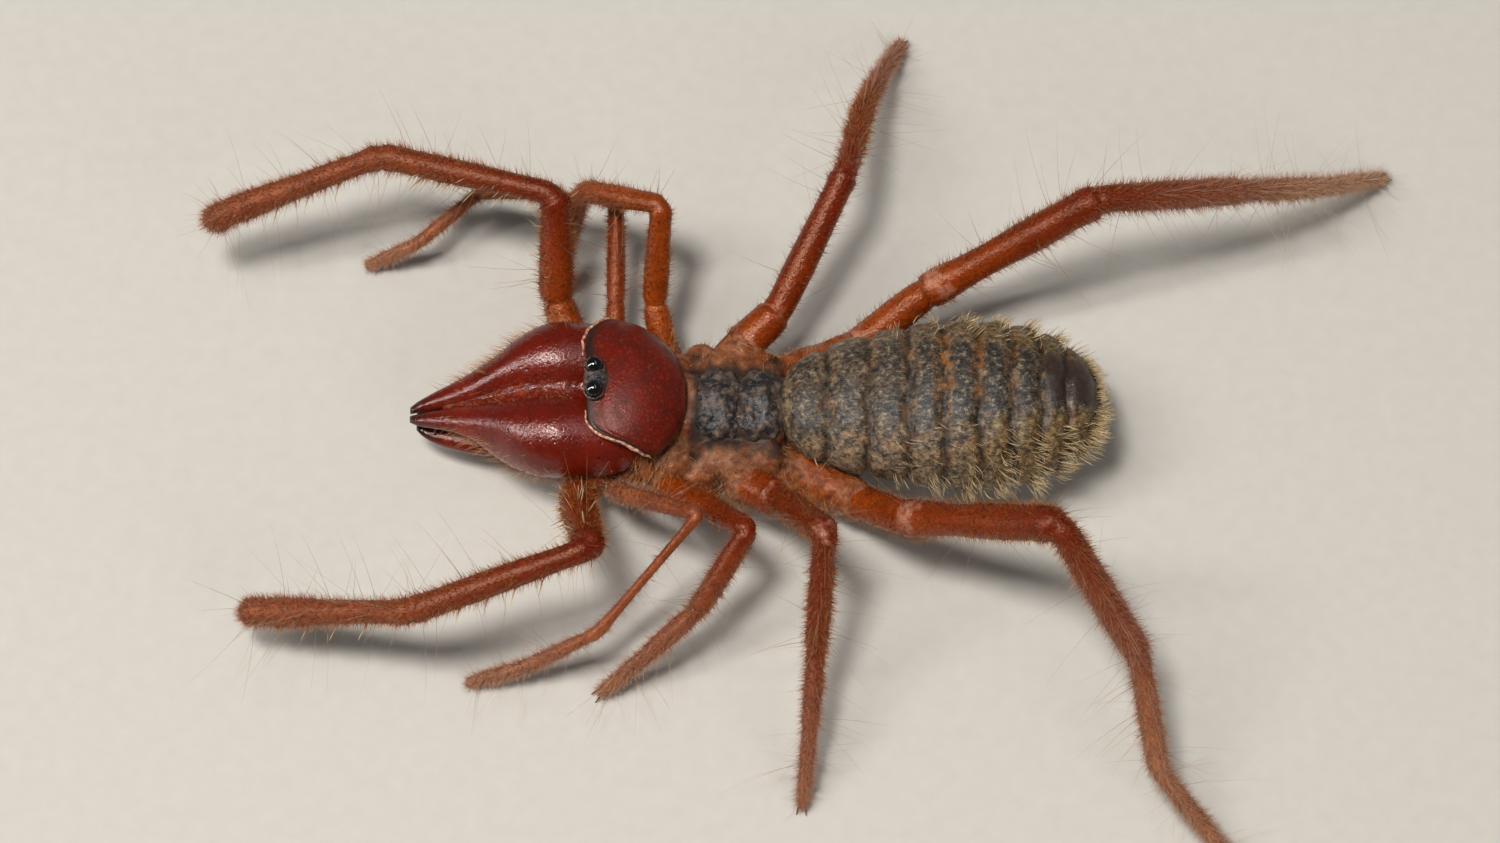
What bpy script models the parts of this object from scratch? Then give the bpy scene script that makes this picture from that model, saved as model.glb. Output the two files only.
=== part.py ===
"""Camel spider (solifuge), a still life-size museum model.

The animal faces -X, its right side is +Y, and its feet stand on z = 0.
All sizes below are millimetres. The meshes are turned to metres at the end,
and the model is then moved so that its box is centred on the origin.
"""
import math
import random

import bmesh
import bpy
from mathutils import Matrix, Vector
from mathutils.geometry import intersect_point_line

MM = 0.001
GAP = 0.3                   # left between any two pieces that meet
SEED = 7

# Head, back plates and jaws, along x from the snout to the rear
JAW_TIP_X = -12.25
JAW_ROOT_X = -6.0
JAW_STEP_X = -9.25          # where the hand ends below and the movable finger begins
PLATE_FRONT_X = -5.75
PLATE_THICK = 0.6
BODY_FRONT_X = JAW_ROOT_X + GAP
BODY_REAR_X = 0.85
ABDOMEN_FRONT_X = BODY_REAR_X + GAP
ABDOMEN_REAR_X = 12.4

EYE_RADIUS = 0.34
EYE_ROOM = 0.25             # between an eye and its cup
EYE_X = -5.4
EYE_Y = 0.47
EYE_Z = 5.52
# Mound that carries the eyes: its middle from the eyes' line, and its radii
MOUND_OFFSET = (0.12, 0, -0.3)
MOUND_RADII = (0.42, 0.86, 0.34)

# Jaw: x, outer y, top z, bottom z
JAW_RINGS = (
    (JAW_ROOT_X, 2.88, 5.12, 2.40),
    (-6.8, 2.96, 5.18, 2.35),
    (-7.6, 2.80, 5.05, 2.20),
    (-8.4, 2.35, 4.75, 2.00),
    (-9.0, 1.88, 4.42, 1.86),
    (JAW_STEP_X, 1.70, 4.26, 1.95),
    (JAW_STEP_X - 0.15, 1.60, 4.15, 2.80),
    (-9.9, 1.30, 3.85, 2.90),
    (-10.6, 0.98, 3.45, 2.85),
    (-11.3, 0.74, 3.10, 2.62),
    (-11.9, 0.52, 2.80, 2.36),
    (JAW_TIP_X, 0.34, 2.60, 2.36),
)
FINGER_RINGS = (
    (JAW_STEP_X - 0.15 - GAP, 1.32, 2.32, 1.45),
    (-10.2, 1.18, 2.22, 1.38),
    (-10.8, 0.98, 2.08, 1.34),
    (-11.4, 0.74, 1.98, 1.42),
    (-11.8, 0.52, 1.98, 1.62),
    (-12.0, 0.36, 2.02, 1.80),
)
JAW_INNER_Y = GAP / 2
JAW_SIDES = 14
# Teeth: x, distance from the midline, height
UPPER_TEETH = ((-10.25, 0.62, 0.34), (-11.0, 0.50, 0.30), (-11.55, 0.40, 0.24))
LOWER_TEETH = ((-10.65, 0.58, 0.30), (-11.3, 0.45, 0.24))
TOOTH_RADIUS = 0.18
TOOTH_SINK = 0.15

# Back plate over the head: x, half width, top z, rim z
PLATE_RINGS = (
    (PLATE_FRONT_X, 1.70, 5.20, 4.90),
    (-5.4, 1.95, 5.35, 4.75),
    (-4.9, 2.12, 5.45, 4.60),
    (-4.3, 2.32, 5.45, 4.40),
    (-3.7, 2.45, 5.32, 4.20),
    (-3.2, 2.35, 5.12, 4.08),
    (-2.8, 2.02, 4.86, 4.02),
    (-2.5, 1.50, 4.60, 4.00),
    (-2.3, 0.85, 4.36, 4.00),
)
# The two smaller plates between the head and the abdomen
WAIST_PLATE_THICK = 0.5
MIDDLE_PLATE_RINGS = (
    (-1.95, 1.15, 3.88, 3.60),
    (-1.6, 1.42, 4.02, 3.50),
    (-0.9, 1.45, 4.02, 3.45),
    (-0.55, 1.30, 3.95, 3.50),
)
REAR_PLATE_RINGS = (
    (-0.25, 1.28, 3.92, 3.50),
    (0.1, 1.42, 4.00, 3.45),
    (0.6, 1.38, 4.00, 3.45),
    (0.85, 1.15, 3.92, 3.55),
)
# Sides of the round body and how far its ovals' corners are filled
BODY_SIDES = 20
BODY_SQUARENESS = 0.92
# Soft body under the plates: x, half width, top z, bottom z
BODY_RINGS = (
    (BODY_FRONT_X, 2.85, 5.10, 2.40),
    (-5.2, 2.90, 5.20, 2.25),
    (-4.6, 2.85, 5.15, 2.00),
    (-4.0, 2.65, 5.00, 1.70),
    (-3.2, 2.25, 4.60, 1.45),
    (-2.4, 1.90, 4.00, 1.32),
    (-1.4, 1.75, 3.85, 1.30),
    (-0.4, 1.65, 3.80, 1.30),
    (0.4, 1.45, 3.75, 1.45),
    (BODY_REAR_X, 1.10, 3.60, 1.85),
)
# The beak between the palps, under the jaws
BEAK_LINE = ((-4.6, 0, 2.5), (-5.6, 0, 2.05), (-6.5, 0, 1.75), (-7.2, 0, 1.6))
BEAK_RADII = (0.7, 0.5, 0.36, 0.22)
# Abdomen: x, half width, top z, bottom z
ABDOMEN_RINGS = (
    (ABDOMEN_FRONT_X, 0.85, 3.90, 2.45),
    (1.5, 1.40, 4.20, 2.20),
    (2.2, 1.95, 4.50, 1.95),
    (3.2, 2.35, 4.85, 1.75),
    (4.5, 2.70, 5.15, 1.50),
    (6.0, 2.98, 5.35, 1.25),
    (7.5, 3.12, 5.50, 1.10),
    (9.0, 3.05, 5.45, 1.15),
    (10.3, 2.75, 5.30, 1.40),
    (11.3, 2.15, 5.00, 1.80),
    (12.0, 1.40, 4.60, 2.30),
    (ABDOMEN_REAR_X, 0.60, 4.10, 2.90),
)
# The creases between the rings of the abdomen
CREASES_X = (2.7, 4.2, 5.6, 6.85, 8.1, 9.25, 10.3, 11.2)
CREASE_DEPTH = 0.10

# Bristle locks of the abdomen. Each row has its turn round the body, in degrees
# up from the side, where it starts and ends along x, the spacing and the length.
LOCK_ROWS = (
    (-58, 4.6, 10.6, 1.50, 1.00),
    (-36, 3.6, 11.0, 1.15, 1.20),
    (-16, 3.0, 11.3, 0.92, 1.30),
    (2, 2.6, 11.5, 0.86, 1.32),
    (20, 2.8, 11.4, 0.90, 1.25),
    (38, 3.2, 11.2, 1.00, 1.10),
    (58, 4.0, 11.0, 1.25, 0.95),
    (78, 5.2, 10.8, 1.70, 0.80),
)
END_LOCKS = 12
END_LOCK_LENGTH = 0.85
LOCK_WIDTH = 0.84
LOCK_THICK = 0.42
LOCK_SINK = 0.34
# A lock's sections from its root: width and thickness as shares of the above
LOCK_WIDTHS = (0.80, 1.0, 0.82, 0.16)
LOCK_THICKS = (1.0, 1.0, 0.76, 0.24)
LOCK_BEND = 0.52            # height of a lock's tip as a share of its length
LIMB_ROOM = 1.15            # a lock nearer than this to a limb's middle is left out

# Limbs. Each has its joint on the body (x, distance from the midline, z), the
# inner end of its coxa, the coxa's two radii, and its segments from the body
# outwards as (name, length, radius near the body, radius at the far end).
# A segment named None is fused to the one after it.
LIMBS = {
    "palp": {
        "base": (-6.1, 2.6, 1.8),
        "coxa_root": (-4.4, 1.4, 2.2),
        "coxa_radii": (0.75, 0.62),
        "segments": (
            (None, 2.3, 0.60, 0.62),
            ("femur", 4.1, 0.64, 0.62),
            ("tibia", 6.6, 0.50, 0.52),
            ("metatarsus", 5.8, 0.52, 0.54),
            ("tarsus", 1.1, 0.50, 0.46),
        ),
    },
    "leg_1": {
        "base": (-4.9, 2.7, 2.2),
        "coxa_root": (-3.9, 1.4, 2.1),
        "coxa_radii": (0.55, 0.42),
        "segments": (
            (None, 1.8, 0.38, 0.36),
            ("femur", 3.8, 0.36, 0.32),
            ("tibia", 5.6, 0.27, 0.27),
            ("metatarsus", 2.9, 0.29, 0.27),
            ("tarsus", 2.6, 0.27, 0.25),
        ),
    },
    "leg_2": {
        "base": (-3.1, 2.7, 2.4),
        "coxa_root": (-2.6, 1.3, 2.2),
        "coxa_radii": (0.65, 0.52),
        "segments": (
            (None, 1.7, 0.50, 0.48),
            ("femur", 3.9, 0.48, 0.44),
            ("tibia", 3.6, 0.43, 0.41),
            ("metatarsus", 2.6, 0.38, 0.34),
            ("tarsus", 2.5, 0.31, 0.26),
        ),
    },
    "leg_3": {
        "base": (-0.2, 2.8, 2.7),
        "coxa_root": (-1.0, 1.2, 2.2),
        "coxa_radii": (0.85, 0.72),
        "segments": (
            ("trochanter", 1.6, 0.72, 0.66),
            ("femur", 5.6, 0.58, 0.52),
            ("tibia", 4.8, 0.47, 0.40),
            ("metatarsus", 2.8, 0.37, 0.32),
            ("tarsus", 3.0, 0.29, 0.25),
        ),
    },
    "leg_4": {
        "base": (3.9, 3.1, 1.8),
        "coxa_root": (0.2, 1.2, 1.9),
        "coxa_radii": (0.95, 0.66),
        "segments": (
            ("trochanter", 3.2, 0.66, 0.62),
            ("femur", 7.3, 0.70, 0.66),
            ("tibia", 5.8, 0.56, 0.50),
            ("metatarsus", 4.2, 0.44, 0.38),
            ("tarsus", 4.3, 0.35, 0.28),
        ),
    },
}

# Stiff spines under the limbs: pairs along a segment, and their length
SPINES = {
    ("palp", "tibia"): (4, 0.80),
    ("palp", "metatarsus"): (3, 0.75),
    ("leg_3", "tibia"): (2, 0.60),
    ("leg_4", "tibia"): (2, 0.65),
    ("leg_4", "metatarsus"): (2, 0.55),
}
SPINE_SIDES = 4
SPINE_RADIUS = 0.20
SPINE_START, SPINE_REACH = 0.2, 0.62   # shares of the segment's length
SPINE_TURN = math.radians(62)   # from straight down towards the sides
SPINE_LEAN = 0.55               # towards the segment's far end

# Racket organs that hang under the hind coxae and trochanters: shares of the
# way along the coxa and along the trochanter, and how far they hang
RACKETS_ON_COXA = (0.38, 0.58, 0.78)
RACKETS_ON_TROCHANTER = (0.30, 0.62)
RACKET_DROP = 0.72
# A racket's stalk and blade: width and thickness of each section
RACKET_WIDTHS = (0.34, 0.34, 0.42, 0.78, 0.44)
RACKET_THICKS = (0.34, 0.34, 0.36, 0.42, 0.30)

# The pose: for each segment its heading away from straight ahead, outwards
# from the midline, and its rise above the level, both in degrees.
POSE = {
    ("palp", "right"): ((63, 28), (91, 48), (15, -2), (-16, -13), (-20, -16)),
    ("palp", "left"): ((90, 51), (102, 43), (17, -10), (-12, -26), (-5, -8)),
    ("leg_1", "right"): ((91, 21), (90, 18), (14, -19), (-40, -9), (-5, -49)),
    ("leg_1", "left"): ((116, 53), (147, 33), (42, -31), (13, -33), (7, -26)),
    ("leg_2", "right"): ((76, 31), (97, 52), (26, -25), (-53, -68), (-62, -68)),
    ("leg_2", "left"): ((135, 35), (132, 37), (47, -44), (32, -34), (26, -43)),
    ("leg_3", "right"): ((141, 18), (119, 25), (101, -27), (106, -36), (111, -31)),
    ("leg_3", "left"): ((144, 18), (116, 51), (84, -56), (85, -30), (83, -41)),
    ("leg_4", "right"): ((149, 26), (163, 30), (166, -18), (156, -33), (147, -37)),
    ("leg_4", "left"): ((131, 45), (155, 40), (133, -43), (103, -36), (136, -31)),
}
SIDES = {"right": 1, "left": -1}
FOOT_Z = 0.17               # height of a claw's middle above the ground

# Colour, roughness
FINISHES = {
    "jaw": ((0.20, 0.022, 0.010), 0.25),
    "plate": ((0.14, 0.025, 0.020), 0.35),
    "eye": ((0.004, 0.004, 0.004), 0.05),
    "leg": ((0.24, 0.050, 0.018), 0.40),
    "flesh": ((0.42, 0.16, 0.080), 0.50),
    "dark_plate": ((0.060, 0.050, 0.038), 0.55),
    "abdomen": ((0.075, 0.062, 0.042), 0.60),
}


def clear_scene():
    for item in list(bpy.data.objects):
        bpy.data.objects.remove(item, do_unlink=True)


def make_finish(name):
    colour, roughness = FINISHES[name]
    material = bpy.data.materials.new(name)
    material.use_nodes = True
    shader = material.node_tree.nodes["Principled BSDF"]
    shader.inputs["Base Color"].default_value = (*colour, 1.0)
    shader.inputs["Roughness"].default_value = roughness
    return material


def object_from_bmesh(name, bm, collection):
    bmesh.ops.recalc_face_normals(bm, faces=bm.faces)
    mesh = bpy.data.meshes.new(name)
    bm.to_mesh(mesh)
    bm.free()
    result = bpy.data.objects.new(name, mesh)
    collection.objects.link(result)
    return result


def smooth_value(rings, column, x):
    """Value of one column of a ring table at x, on a smooth curve through it."""
    rows = sorted(rings)
    if x <= rows[0][0]:
        return rows[0][column]
    if x >= rows[-1][0]:
        return rows[-1][column]
    index = max(i for i in range(len(rows) - 1) if rows[i][0] <= x)
    before = rows[max(index - 1, 0)]
    start, end = rows[index], rows[index + 1]
    after = rows[min(index + 2, len(rows) - 1)]
    span = end[0] - start[0]
    share = (x - start[0]) / span
    slope_in = (end[column] - before[column]) / (end[0] - before[0]) * span
    slope_out = (after[column] - start[column]) / (after[0] - start[0]) * span
    square, cube = share * share, share ** 3
    return ((2 * cube - 3 * square + 1) * start[column]
            + (cube - 2 * square + share) * slope_in
            + (3 * square - 2 * cube) * end[column]
            + (cube - square) * slope_out)


def loft(name, sections, collection):
    """Closed body through rings of points, all with the same count."""
    bm = bmesh.new()
    rings = [[bm.verts.new(point) for point in section] for section in sections]
    count = len(rings[0])
    for near, far in zip(rings, rings[1:]):
        for i in range(count):
            j = (i + 1) % count
            bm.faces.new((near[i], near[j], far[j], far[i]))
    bm.faces.new(rings[0])
    bm.faces.new(rings[-1])
    return object_from_bmesh(name, bm, collection)


def power(value, exponent):
    return math.copysign(abs(value) ** exponent, value)


def oval(x, middle_y, half_width, top, bottom, count, squareness=1.0):
    """Ring at x. A squareness below 1 fills the corners of the oval."""
    middle_z = (top + bottom) / 2
    half_height = (top - bottom) / 2
    points = []
    for i in range(count):
        turn = 2 * math.pi * i / count
        across = power(math.cos(turn), squareness) * half_width
        up = power(math.sin(turn), squareness) * half_height
        points.append(Vector((x, middle_y + across, middle_z + up)))
    return points


def body_of_rings(name, rings, collection, grow=0.0):
    sections = []
    first, last = rings[0][0], rings[-1][0]
    for x, half_width, top, bottom in rings:
        shift = -grow if x == first else grow if x == last else 0.0
        sections.append(oval(x + shift, 0.0, half_width + grow, top + grow,
                             bottom - grow, BODY_SIDES, BODY_SQUARENESS))
    return loft(name, sections, collection)


def arched_plate(name, rings, thick, collection, grow=0.0, count=9):
    """Domed plate whose underside follows its top. Grow makes its clearance."""
    sections = []
    first, last = rings[0][0], rings[-1][0]
    for x, half_width, top, rim in rings:
        shift = -grow if x == first else grow if x == last else 0.0
        upper, lower = [], []
        for i in range(count):
            across = -math.cos(math.pi * i / (count - 1)) * (half_width + grow)
            share = min(abs(across) + grow, half_width) / half_width
            up = rim + (top - rim) * math.sqrt(1 - share ** 2)
            upper.append(Vector((x + shift, across, up + grow * 4)))
            lower.append(Vector((x + shift, across, up - thick - grow)))
        sections.append(upper + lower[::-1])
    return loft(name, sections, collection)


def tube(name, points, radii, collection, resolution=3):
    """Round limb along points, from a curve turned into a closed mesh."""
    curve = bpy.data.curves.new(name, "CURVE")
    curve.dimensions = "3D"
    curve.bevel_depth = 1.0
    curve.bevel_resolution = resolution
    curve.use_fill_caps = True
    spline = curve.splines.new("POLY")
    spline.points.add(len(points) - 1)
    for spot, point, radius in zip(spline.points, points, radii):
        spot.co = (*point, 1.0)
        spot.radius = radius
    carrier = bpy.data.objects.new(name + "_line", curve)
    collection.objects.link(carrier)
    graph = bpy.context.evaluated_depsgraph_get()
    mesh = bpy.data.meshes.new_from_object(carrier.evaluated_get(graph))
    bpy.data.objects.remove(carrier, do_unlink=True)
    bm = bmesh.new()
    bm.from_mesh(mesh)
    bpy.data.meshes.remove(mesh)
    bmesh.ops.remove_doubles(bm, verts=bm.verts, dist=0.0001)
    return object_from_bmesh(name, bm, collection)


def cut_away(item, point, normal):
    """Remove what lies beyond the plane, on the side its normal points to."""
    bm = bmesh.new()
    bm.from_mesh(item.data)
    everything = bm.verts[:] + bm.edges[:] + bm.faces[:]
    cut = bmesh.ops.bisect_plane(bm, geom=everything, plane_co=point, plane_no=normal,
                                 dist=0.00001, clear_outer=True)
    rim = [part for part in cut["geom_cut"] if isinstance(part, bmesh.types.BMEdge)]
    if rim:
        bmesh.ops.edgeloop_fill(bm, edges=rim)
    bmesh.ops.recalc_face_normals(bm, faces=bm.faces)
    bm.to_mesh(item.data)
    bm.free()


def boolean(item, others, operation, solver="EXACT"):
    """Join or cut item with other objects, which are then removed."""
    group = bpy.data.collections.new("tools")
    for other in others:
        group.objects.link(other)
    modifier = item.modifiers.new("boolean", "BOOLEAN")
    modifier.operation = operation
    modifier.operand_type = "COLLECTION"
    modifier.collection = group
    modifier.solver = solver
    graph = bpy.context.evaluated_depsgraph_get()
    mesh = bpy.data.meshes.new_from_object(item.evaluated_get(graph))
    item.modifiers.clear()
    item.data = mesh
    for other in others:
        bpy.data.objects.remove(other, do_unlink=True)
    bpy.data.collections.remove(group)
    keep_largest_surface(item)


def keep_largest_surface(item):
    bm = bmesh.new()
    bm.from_mesh(item.data)
    bmesh.ops.remove_doubles(bm, verts=bm.verts, dist=0.0005)
    bmesh.ops.dissolve_degenerate(bm, edges=bm.edges, dist=0.0005)
    waiting = set(bm.faces)
    surfaces = []
    while waiting:
        surface, front = set(), [waiting.pop()]
        while front:
            face = front.pop()
            surface.add(face)
            for edge in face.edges:
                for beside in edge.link_faces:
                    if beside in waiting:
                        waiting.discard(beside)
                        front.append(beside)
        surfaces.append(surface)
    surfaces.sort(key=lambda faces: sum(face.calc_area() for face in faces))
    scraps = [face for surface in surfaces[:-1] for face in surface]
    if scraps:
        bmesh.ops.delete(bm, geom=scraps, context="FACES")
    bm.to_mesh(item.data)
    bm.free()


def cone_between(name, root, tip, radius, collection, sides=5):
    """Pointed tooth or spine from root to tip."""
    bm = bmesh.new()
    bmesh.ops.create_cone(bm, cap_ends=True, segments=sides, radius1=radius,
                          radius2=radius * 0.2, depth=(tip - root).length)
    turn = (tip - root).to_track_quat("Z", "Y").to_matrix().to_4x4()
    place = Matrix.Translation((root + tip) / 2) @ turn
    bmesh.ops.transform(bm, matrix=place, verts=bm.verts)
    return object_from_bmesh(name, bm, collection)


def blade(name, centres, across, widths, thicks, collection):
    """Flat tapered piece along centres, four-sided, as wide as across points."""
    sections = []
    for index, centre in enumerate(centres):
        behind, before = centres[max(index - 1, 0)], centres[min(index + 1, len(centres) - 1)]
        out = across.cross(before - behind).normalized()
        wide, thick = widths[index] / 2, thicks[index] / 2
        sections.append([centre + across * wide, centre + out * thick,
                         centre - across * wide, centre - out * thick])
    return loft(name, sections, collection)


def lock(root, normal, lie, length, collection):
    """Bristle lock that leaves the skin steeply and bends over along the lie."""
    lie = (lie - normal * lie.dot(normal)).normalized()
    across = normal.cross(lie).normalized()
    steps = ((-LOCK_SINK, -0.05), (0.12, 0.12), (0.38 * length, 0.50 * length),
             (LOCK_BEND * length, length))
    centres = [root + normal * up + lie * along for up, along in steps]
    widths = [LOCK_WIDTH * share for share in LOCK_WIDTHS]
    thicks = [LOCK_THICK * share for share in LOCK_THICKS]
    return blade("lock", centres, across, widths, thicks, collection)


def finish(item, finish_name, finishes):
    item.data.materials.clear()
    item.data.materials.append(finishes[finish_name].copy())
    item.data.shade_smooth()
    item.data.set_sharp_from_angle(angle=math.radians(50))


def limb_joints(limb, side):
    """Joint points of one limb, from the inner end of its coxa to its tip."""
    facts = LIMBS[limb]
    sign = SIDES[side]
    root_x, root_y, root_z = facts["coxa_root"]
    base_x, base_y, base_z = facts["base"]
    joints = [Vector((root_x, sign * root_y, root_z)),
              Vector((base_x, sign * base_y, base_z))]
    for segment, (heading, rise) in zip(facts["segments"], POSE[(limb, side)]):
        ahead, up = math.radians(heading), math.radians(rise)
        step = Vector((-math.cos(up) * math.cos(ahead),
                       sign * math.cos(up) * math.sin(ahead),
                       math.sin(up)))
        joints.append(joints[-1] + step * segment[1])
    if limb != "palp":
        set_down(joints, facts["segments"][-1][1])
    return joints


def set_down(joints, length):
    """Turn the last segment so that its tip stands on the ground."""
    knee = joints[-2]
    flat = joints[-1] - knee
    flat.z = 0.0
    drop = knee.z - FOOT_Z
    reach = math.sqrt(length ** 2 - drop ** 2)
    joints[-1] = knee + flat.normalized() * reach - Vector((0, 0, drop))


def joint_plane(joints, index):
    """Point and direction of the thin cut between two segments."""
    before = (joints[index] - joints[index - 1]).normalized()
    after = (joints[index + 1] - joints[index]).normalized()
    return joints[index], (before + after).normalized()


def trim_to_joints(item, joints, first, last):
    """Cut a segment back to half a gap from the joints at its two ends."""
    if first > 0:
        point, normal = joint_plane(joints, first)
        cut_away(item, point + normal * GAP / 2, -normal)
    if last < len(joints) - 1:
        point, normal = joint_plane(joints, last)
        cut_away(item, point - normal * GAP / 2, normal)


def segment_line(joints, first, last, radii):
    """Points and radii of a segment, running past both joints with round ends."""
    start, end = joints[first], joints[last]
    into = (joints[first + 1] - start).normalized()
    out = (end - joints[last - 1]).normalized()
    begin_radius, end_radius = radii[0], radii[-1]
    points = [start - into * begin_radius * 0.9, start - into * begin_radius * 0.5]
    sizes = [begin_radius * 0.45, begin_radius * 0.86]
    for index in range(first, last):
        near, far = joints[index], joints[index + 1]
        radius_near, radius_far = radii[(index - first) * 2:(index - first) * 2 + 2]
        middle = (radius_near + radius_far) / 2
        points += [near, near.lerp(far, 0.2), near.lerp(far, 0.55), near.lerp(far, 0.88)]
        sizes += [radius_near * 0.96, radius_near * 0.93, middle * 0.97, radius_far * 1.03]
    points += [end, end + out * end_radius * 0.5, end + out * end_radius * 0.9]
    sizes += [end_radius, end_radius * 0.86, end_radius * 0.45]
    return points, sizes


def foot_line(joints, radii):
    """Points and radii of a last segment, which narrows to its claw."""
    start, tip = joints[-2], joints[-1]
    along = (tip - start).normalized()
    near, far = radii
    points = [start - along * near * 0.9, start - along * near * 0.5]
    sizes = [near * 0.45, near * 0.86]
    shares = ((0.0, near), (0.3, near), (0.65, (near + far) / 2), (0.92, far), (1.0, far * 0.7))
    for share, size in shares:
        points.append(start.lerp(tip, share))
        sizes.append(size)
    return points, sizes


def knob_line(joints, radii):
    """Points and radii of a palp's tip, which is short and blunt."""
    start, tip = joints[-2], joints[-1]
    along = (tip - start).normalized()
    near, far = radii
    points = [start - along * near * 0.5]
    sizes = [near * 0.9]
    for share, size in ((0.0, near), (0.5, near), (0.85, far), (1.05, far * 0.8), (1.18, far * 0.45)):
        points.append(start.lerp(tip, share))
        sizes.append(size)
    return points, sizes


def spines(start, end, radii, pairs, length, tools):
    """Pairs of spines along the underside of a segment from start to end."""
    along = (end - start).normalized()
    down = Vector((0, 0, -1))
    down = (down - along * down.dot(along)).normalized()
    sideways = along.cross(down)
    made = []
    for index in range(pairs):
        share = SPINE_START + SPINE_REACH * (index + 0.5) / pairs
        near_radius, far_radius = radii
        radius = near_radius + (far_radius - near_radius) * share
        centre = start.lerp(end, share)
        for hand in (1, -1):
            out = down * math.cos(SPINE_TURN) + sideways * hand * math.sin(SPINE_TURN)
            root = centre + out * (radius * 0.35)
            tip = centre + out * (radius + length * 0.8) + along * length * SPINE_LEAN
            made.append(cone_between("spine", root, tip, SPINE_RADIUS, tools, SPINE_SIDES))
    return made


def rackets(start, end, radii, shares, tools):
    """Flat racket-shaped organs hanging from the line between start and end."""
    across = (end - start).cross(Vector((0, 0, 1))).normalized()
    made = []
    for share in shares:
        radius = radii[0] + (radii[1] - radii[0]) * share
        top = start.lerp(end, share)
        depths = (radius * 0.4, radius, radius + RACKET_DROP * 0.45,
                  radius + RACKET_DROP * 0.85, radius + RACKET_DROP)
        centres = [top + Vector((0, 0, -depth)) for depth in depths]
        made.append(blade("racket", centres, across, RACKET_WIDTHS, RACKET_THICKS, tools))
    return made


def make_limb(limb, side, collection, tools, finishes):
    facts = LIMBS[limb]
    joints = limb_joints(limb, side)
    segments = facts["segments"]
    first = 1
    radii = []
    for index, (name, _, near, far) in enumerate(segments):
        last = index + 2
        radii += [near, far]
        if name is None:
            continue
        full_name = "_".join((limb, side, name))
        if last < len(joints) - 1:
            points, sizes = segment_line(joints, first, last, radii)
        elif limb == "palp":
            points, sizes = knob_line(joints, radii)
        else:
            points, sizes = foot_line(joints, radii)
        item = tube(full_name, points, sizes, collection)
        trim_to_joints(item, joints, first, last)
        start, end = joints[last - 1], joints[last]
        extras = []
        if (limb, name) in SPINES:
            extras = spines(start, end, (near, far), *SPINES[(limb, name)], tools)
        if (limb, name) == ("leg_4", "trochanter"):
            extras = rackets(start, end, (near, far), RACKETS_ON_TROCHANTER, tools)
        if extras:
            boolean(item, extras, "UNION")
        if last == len(joints) - 1 and limb != "palp":
            cut_away(item, Vector((0, 0, 0)), Vector((0, 0, -1)))
        finish(item, "leg", finishes)
        first = last
        radii = []


def coxa(limb, side, tools):
    """Fleshy first piece of a limb, to be fused to the body."""
    joints = limb_joints(limb, side)
    root, base = joints[0], joints[1]
    wide, narrow = LIMBS[limb]["coxa_radii"]
    along = (base - root).normalized()
    points = [root - along * wide * 0.5, root, root.lerp(base, 0.5), base, base + along * narrow]
    sizes = [wide * 0.7, wide, (wide + narrow) / 2, narrow, narrow * 0.7]
    item = tube("coxa", points, sizes, tools)
    trim_to_joints(item, joints, 0, 1)
    return item


def jaw_ring(x, outer_y, top, bottom, side):
    middle = (outer_y + JAW_INNER_Y) / 2
    half = (outer_y - JAW_INNER_Y) / 2
    return oval(x, SIDES[side] * middle, half, top, bottom, JAW_SIDES, BODY_SQUARENESS)


def grown(ring):
    """A ring of the jaw with a gap added all round, and behind its root."""
    x, outer_y, top, bottom = ring
    shift = GAP if x == JAW_ROOT_X else 0.0
    return x + shift, outer_y + GAP, top + GAP, bottom - GAP


def make_jaw(side, collection, tools, finishes):
    """One chelicera: its hand and fixed finger, and its movable finger."""
    hand = loft("chelicera_" + side, [jaw_ring(*ring, side) for ring in JAW_RINGS], collection)
    finger = loft("cheliceral_finger_" + side,
                  [jaw_ring(*ring, side) for ring in FINGER_RINGS], collection)
    sign = SIDES[side]
    upper_teeth, lower_teeth = [], []
    for x, inward, height in UPPER_TEETH:
        floor = smooth_value(JAW_RINGS, 3, x)
        root = Vector((x, sign * inward, floor + TOOTH_SINK))
        tip = Vector((x, sign * inward, floor - height))
        upper_teeth.append(cone_between("tooth", root, tip, TOOTH_RADIUS, tools))
    for x, inward, height in LOWER_TEETH:
        crown = smooth_value(FINGER_RINGS, 2, x)
        root = Vector((x, sign * inward, crown - TOOTH_SINK))
        tip = Vector((x, sign * inward, crown + height))
        lower_teeth.append(cone_between("tooth", root, tip, TOOTH_RADIUS, tools))
    boolean(hand, upper_teeth, "UNION")
    boolean(finger, lower_teeth, "UNION")
    finish(hand, "jaw", finishes)
    finish(finger, "jaw", finishes)


def ball(name, centre, radius, collection, detail=2):
    bm = bmesh.new()
    bmesh.ops.create_icosphere(bm, subdivisions=detail, radius=1.0)
    size = Vector(radius) if isinstance(radius, tuple) else Vector((radius,) * 3)
    place = Matrix.Translation(centre) @ Matrix.Diagonal(size).to_4x4()
    bmesh.ops.transform(bm, matrix=place, verts=bm.verts)
    return object_from_bmesh(name, bm, collection)


def eye_centre(side):
    return Vector((EYE_X, SIDES[side] * EYE_Y, EYE_Z))


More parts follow.
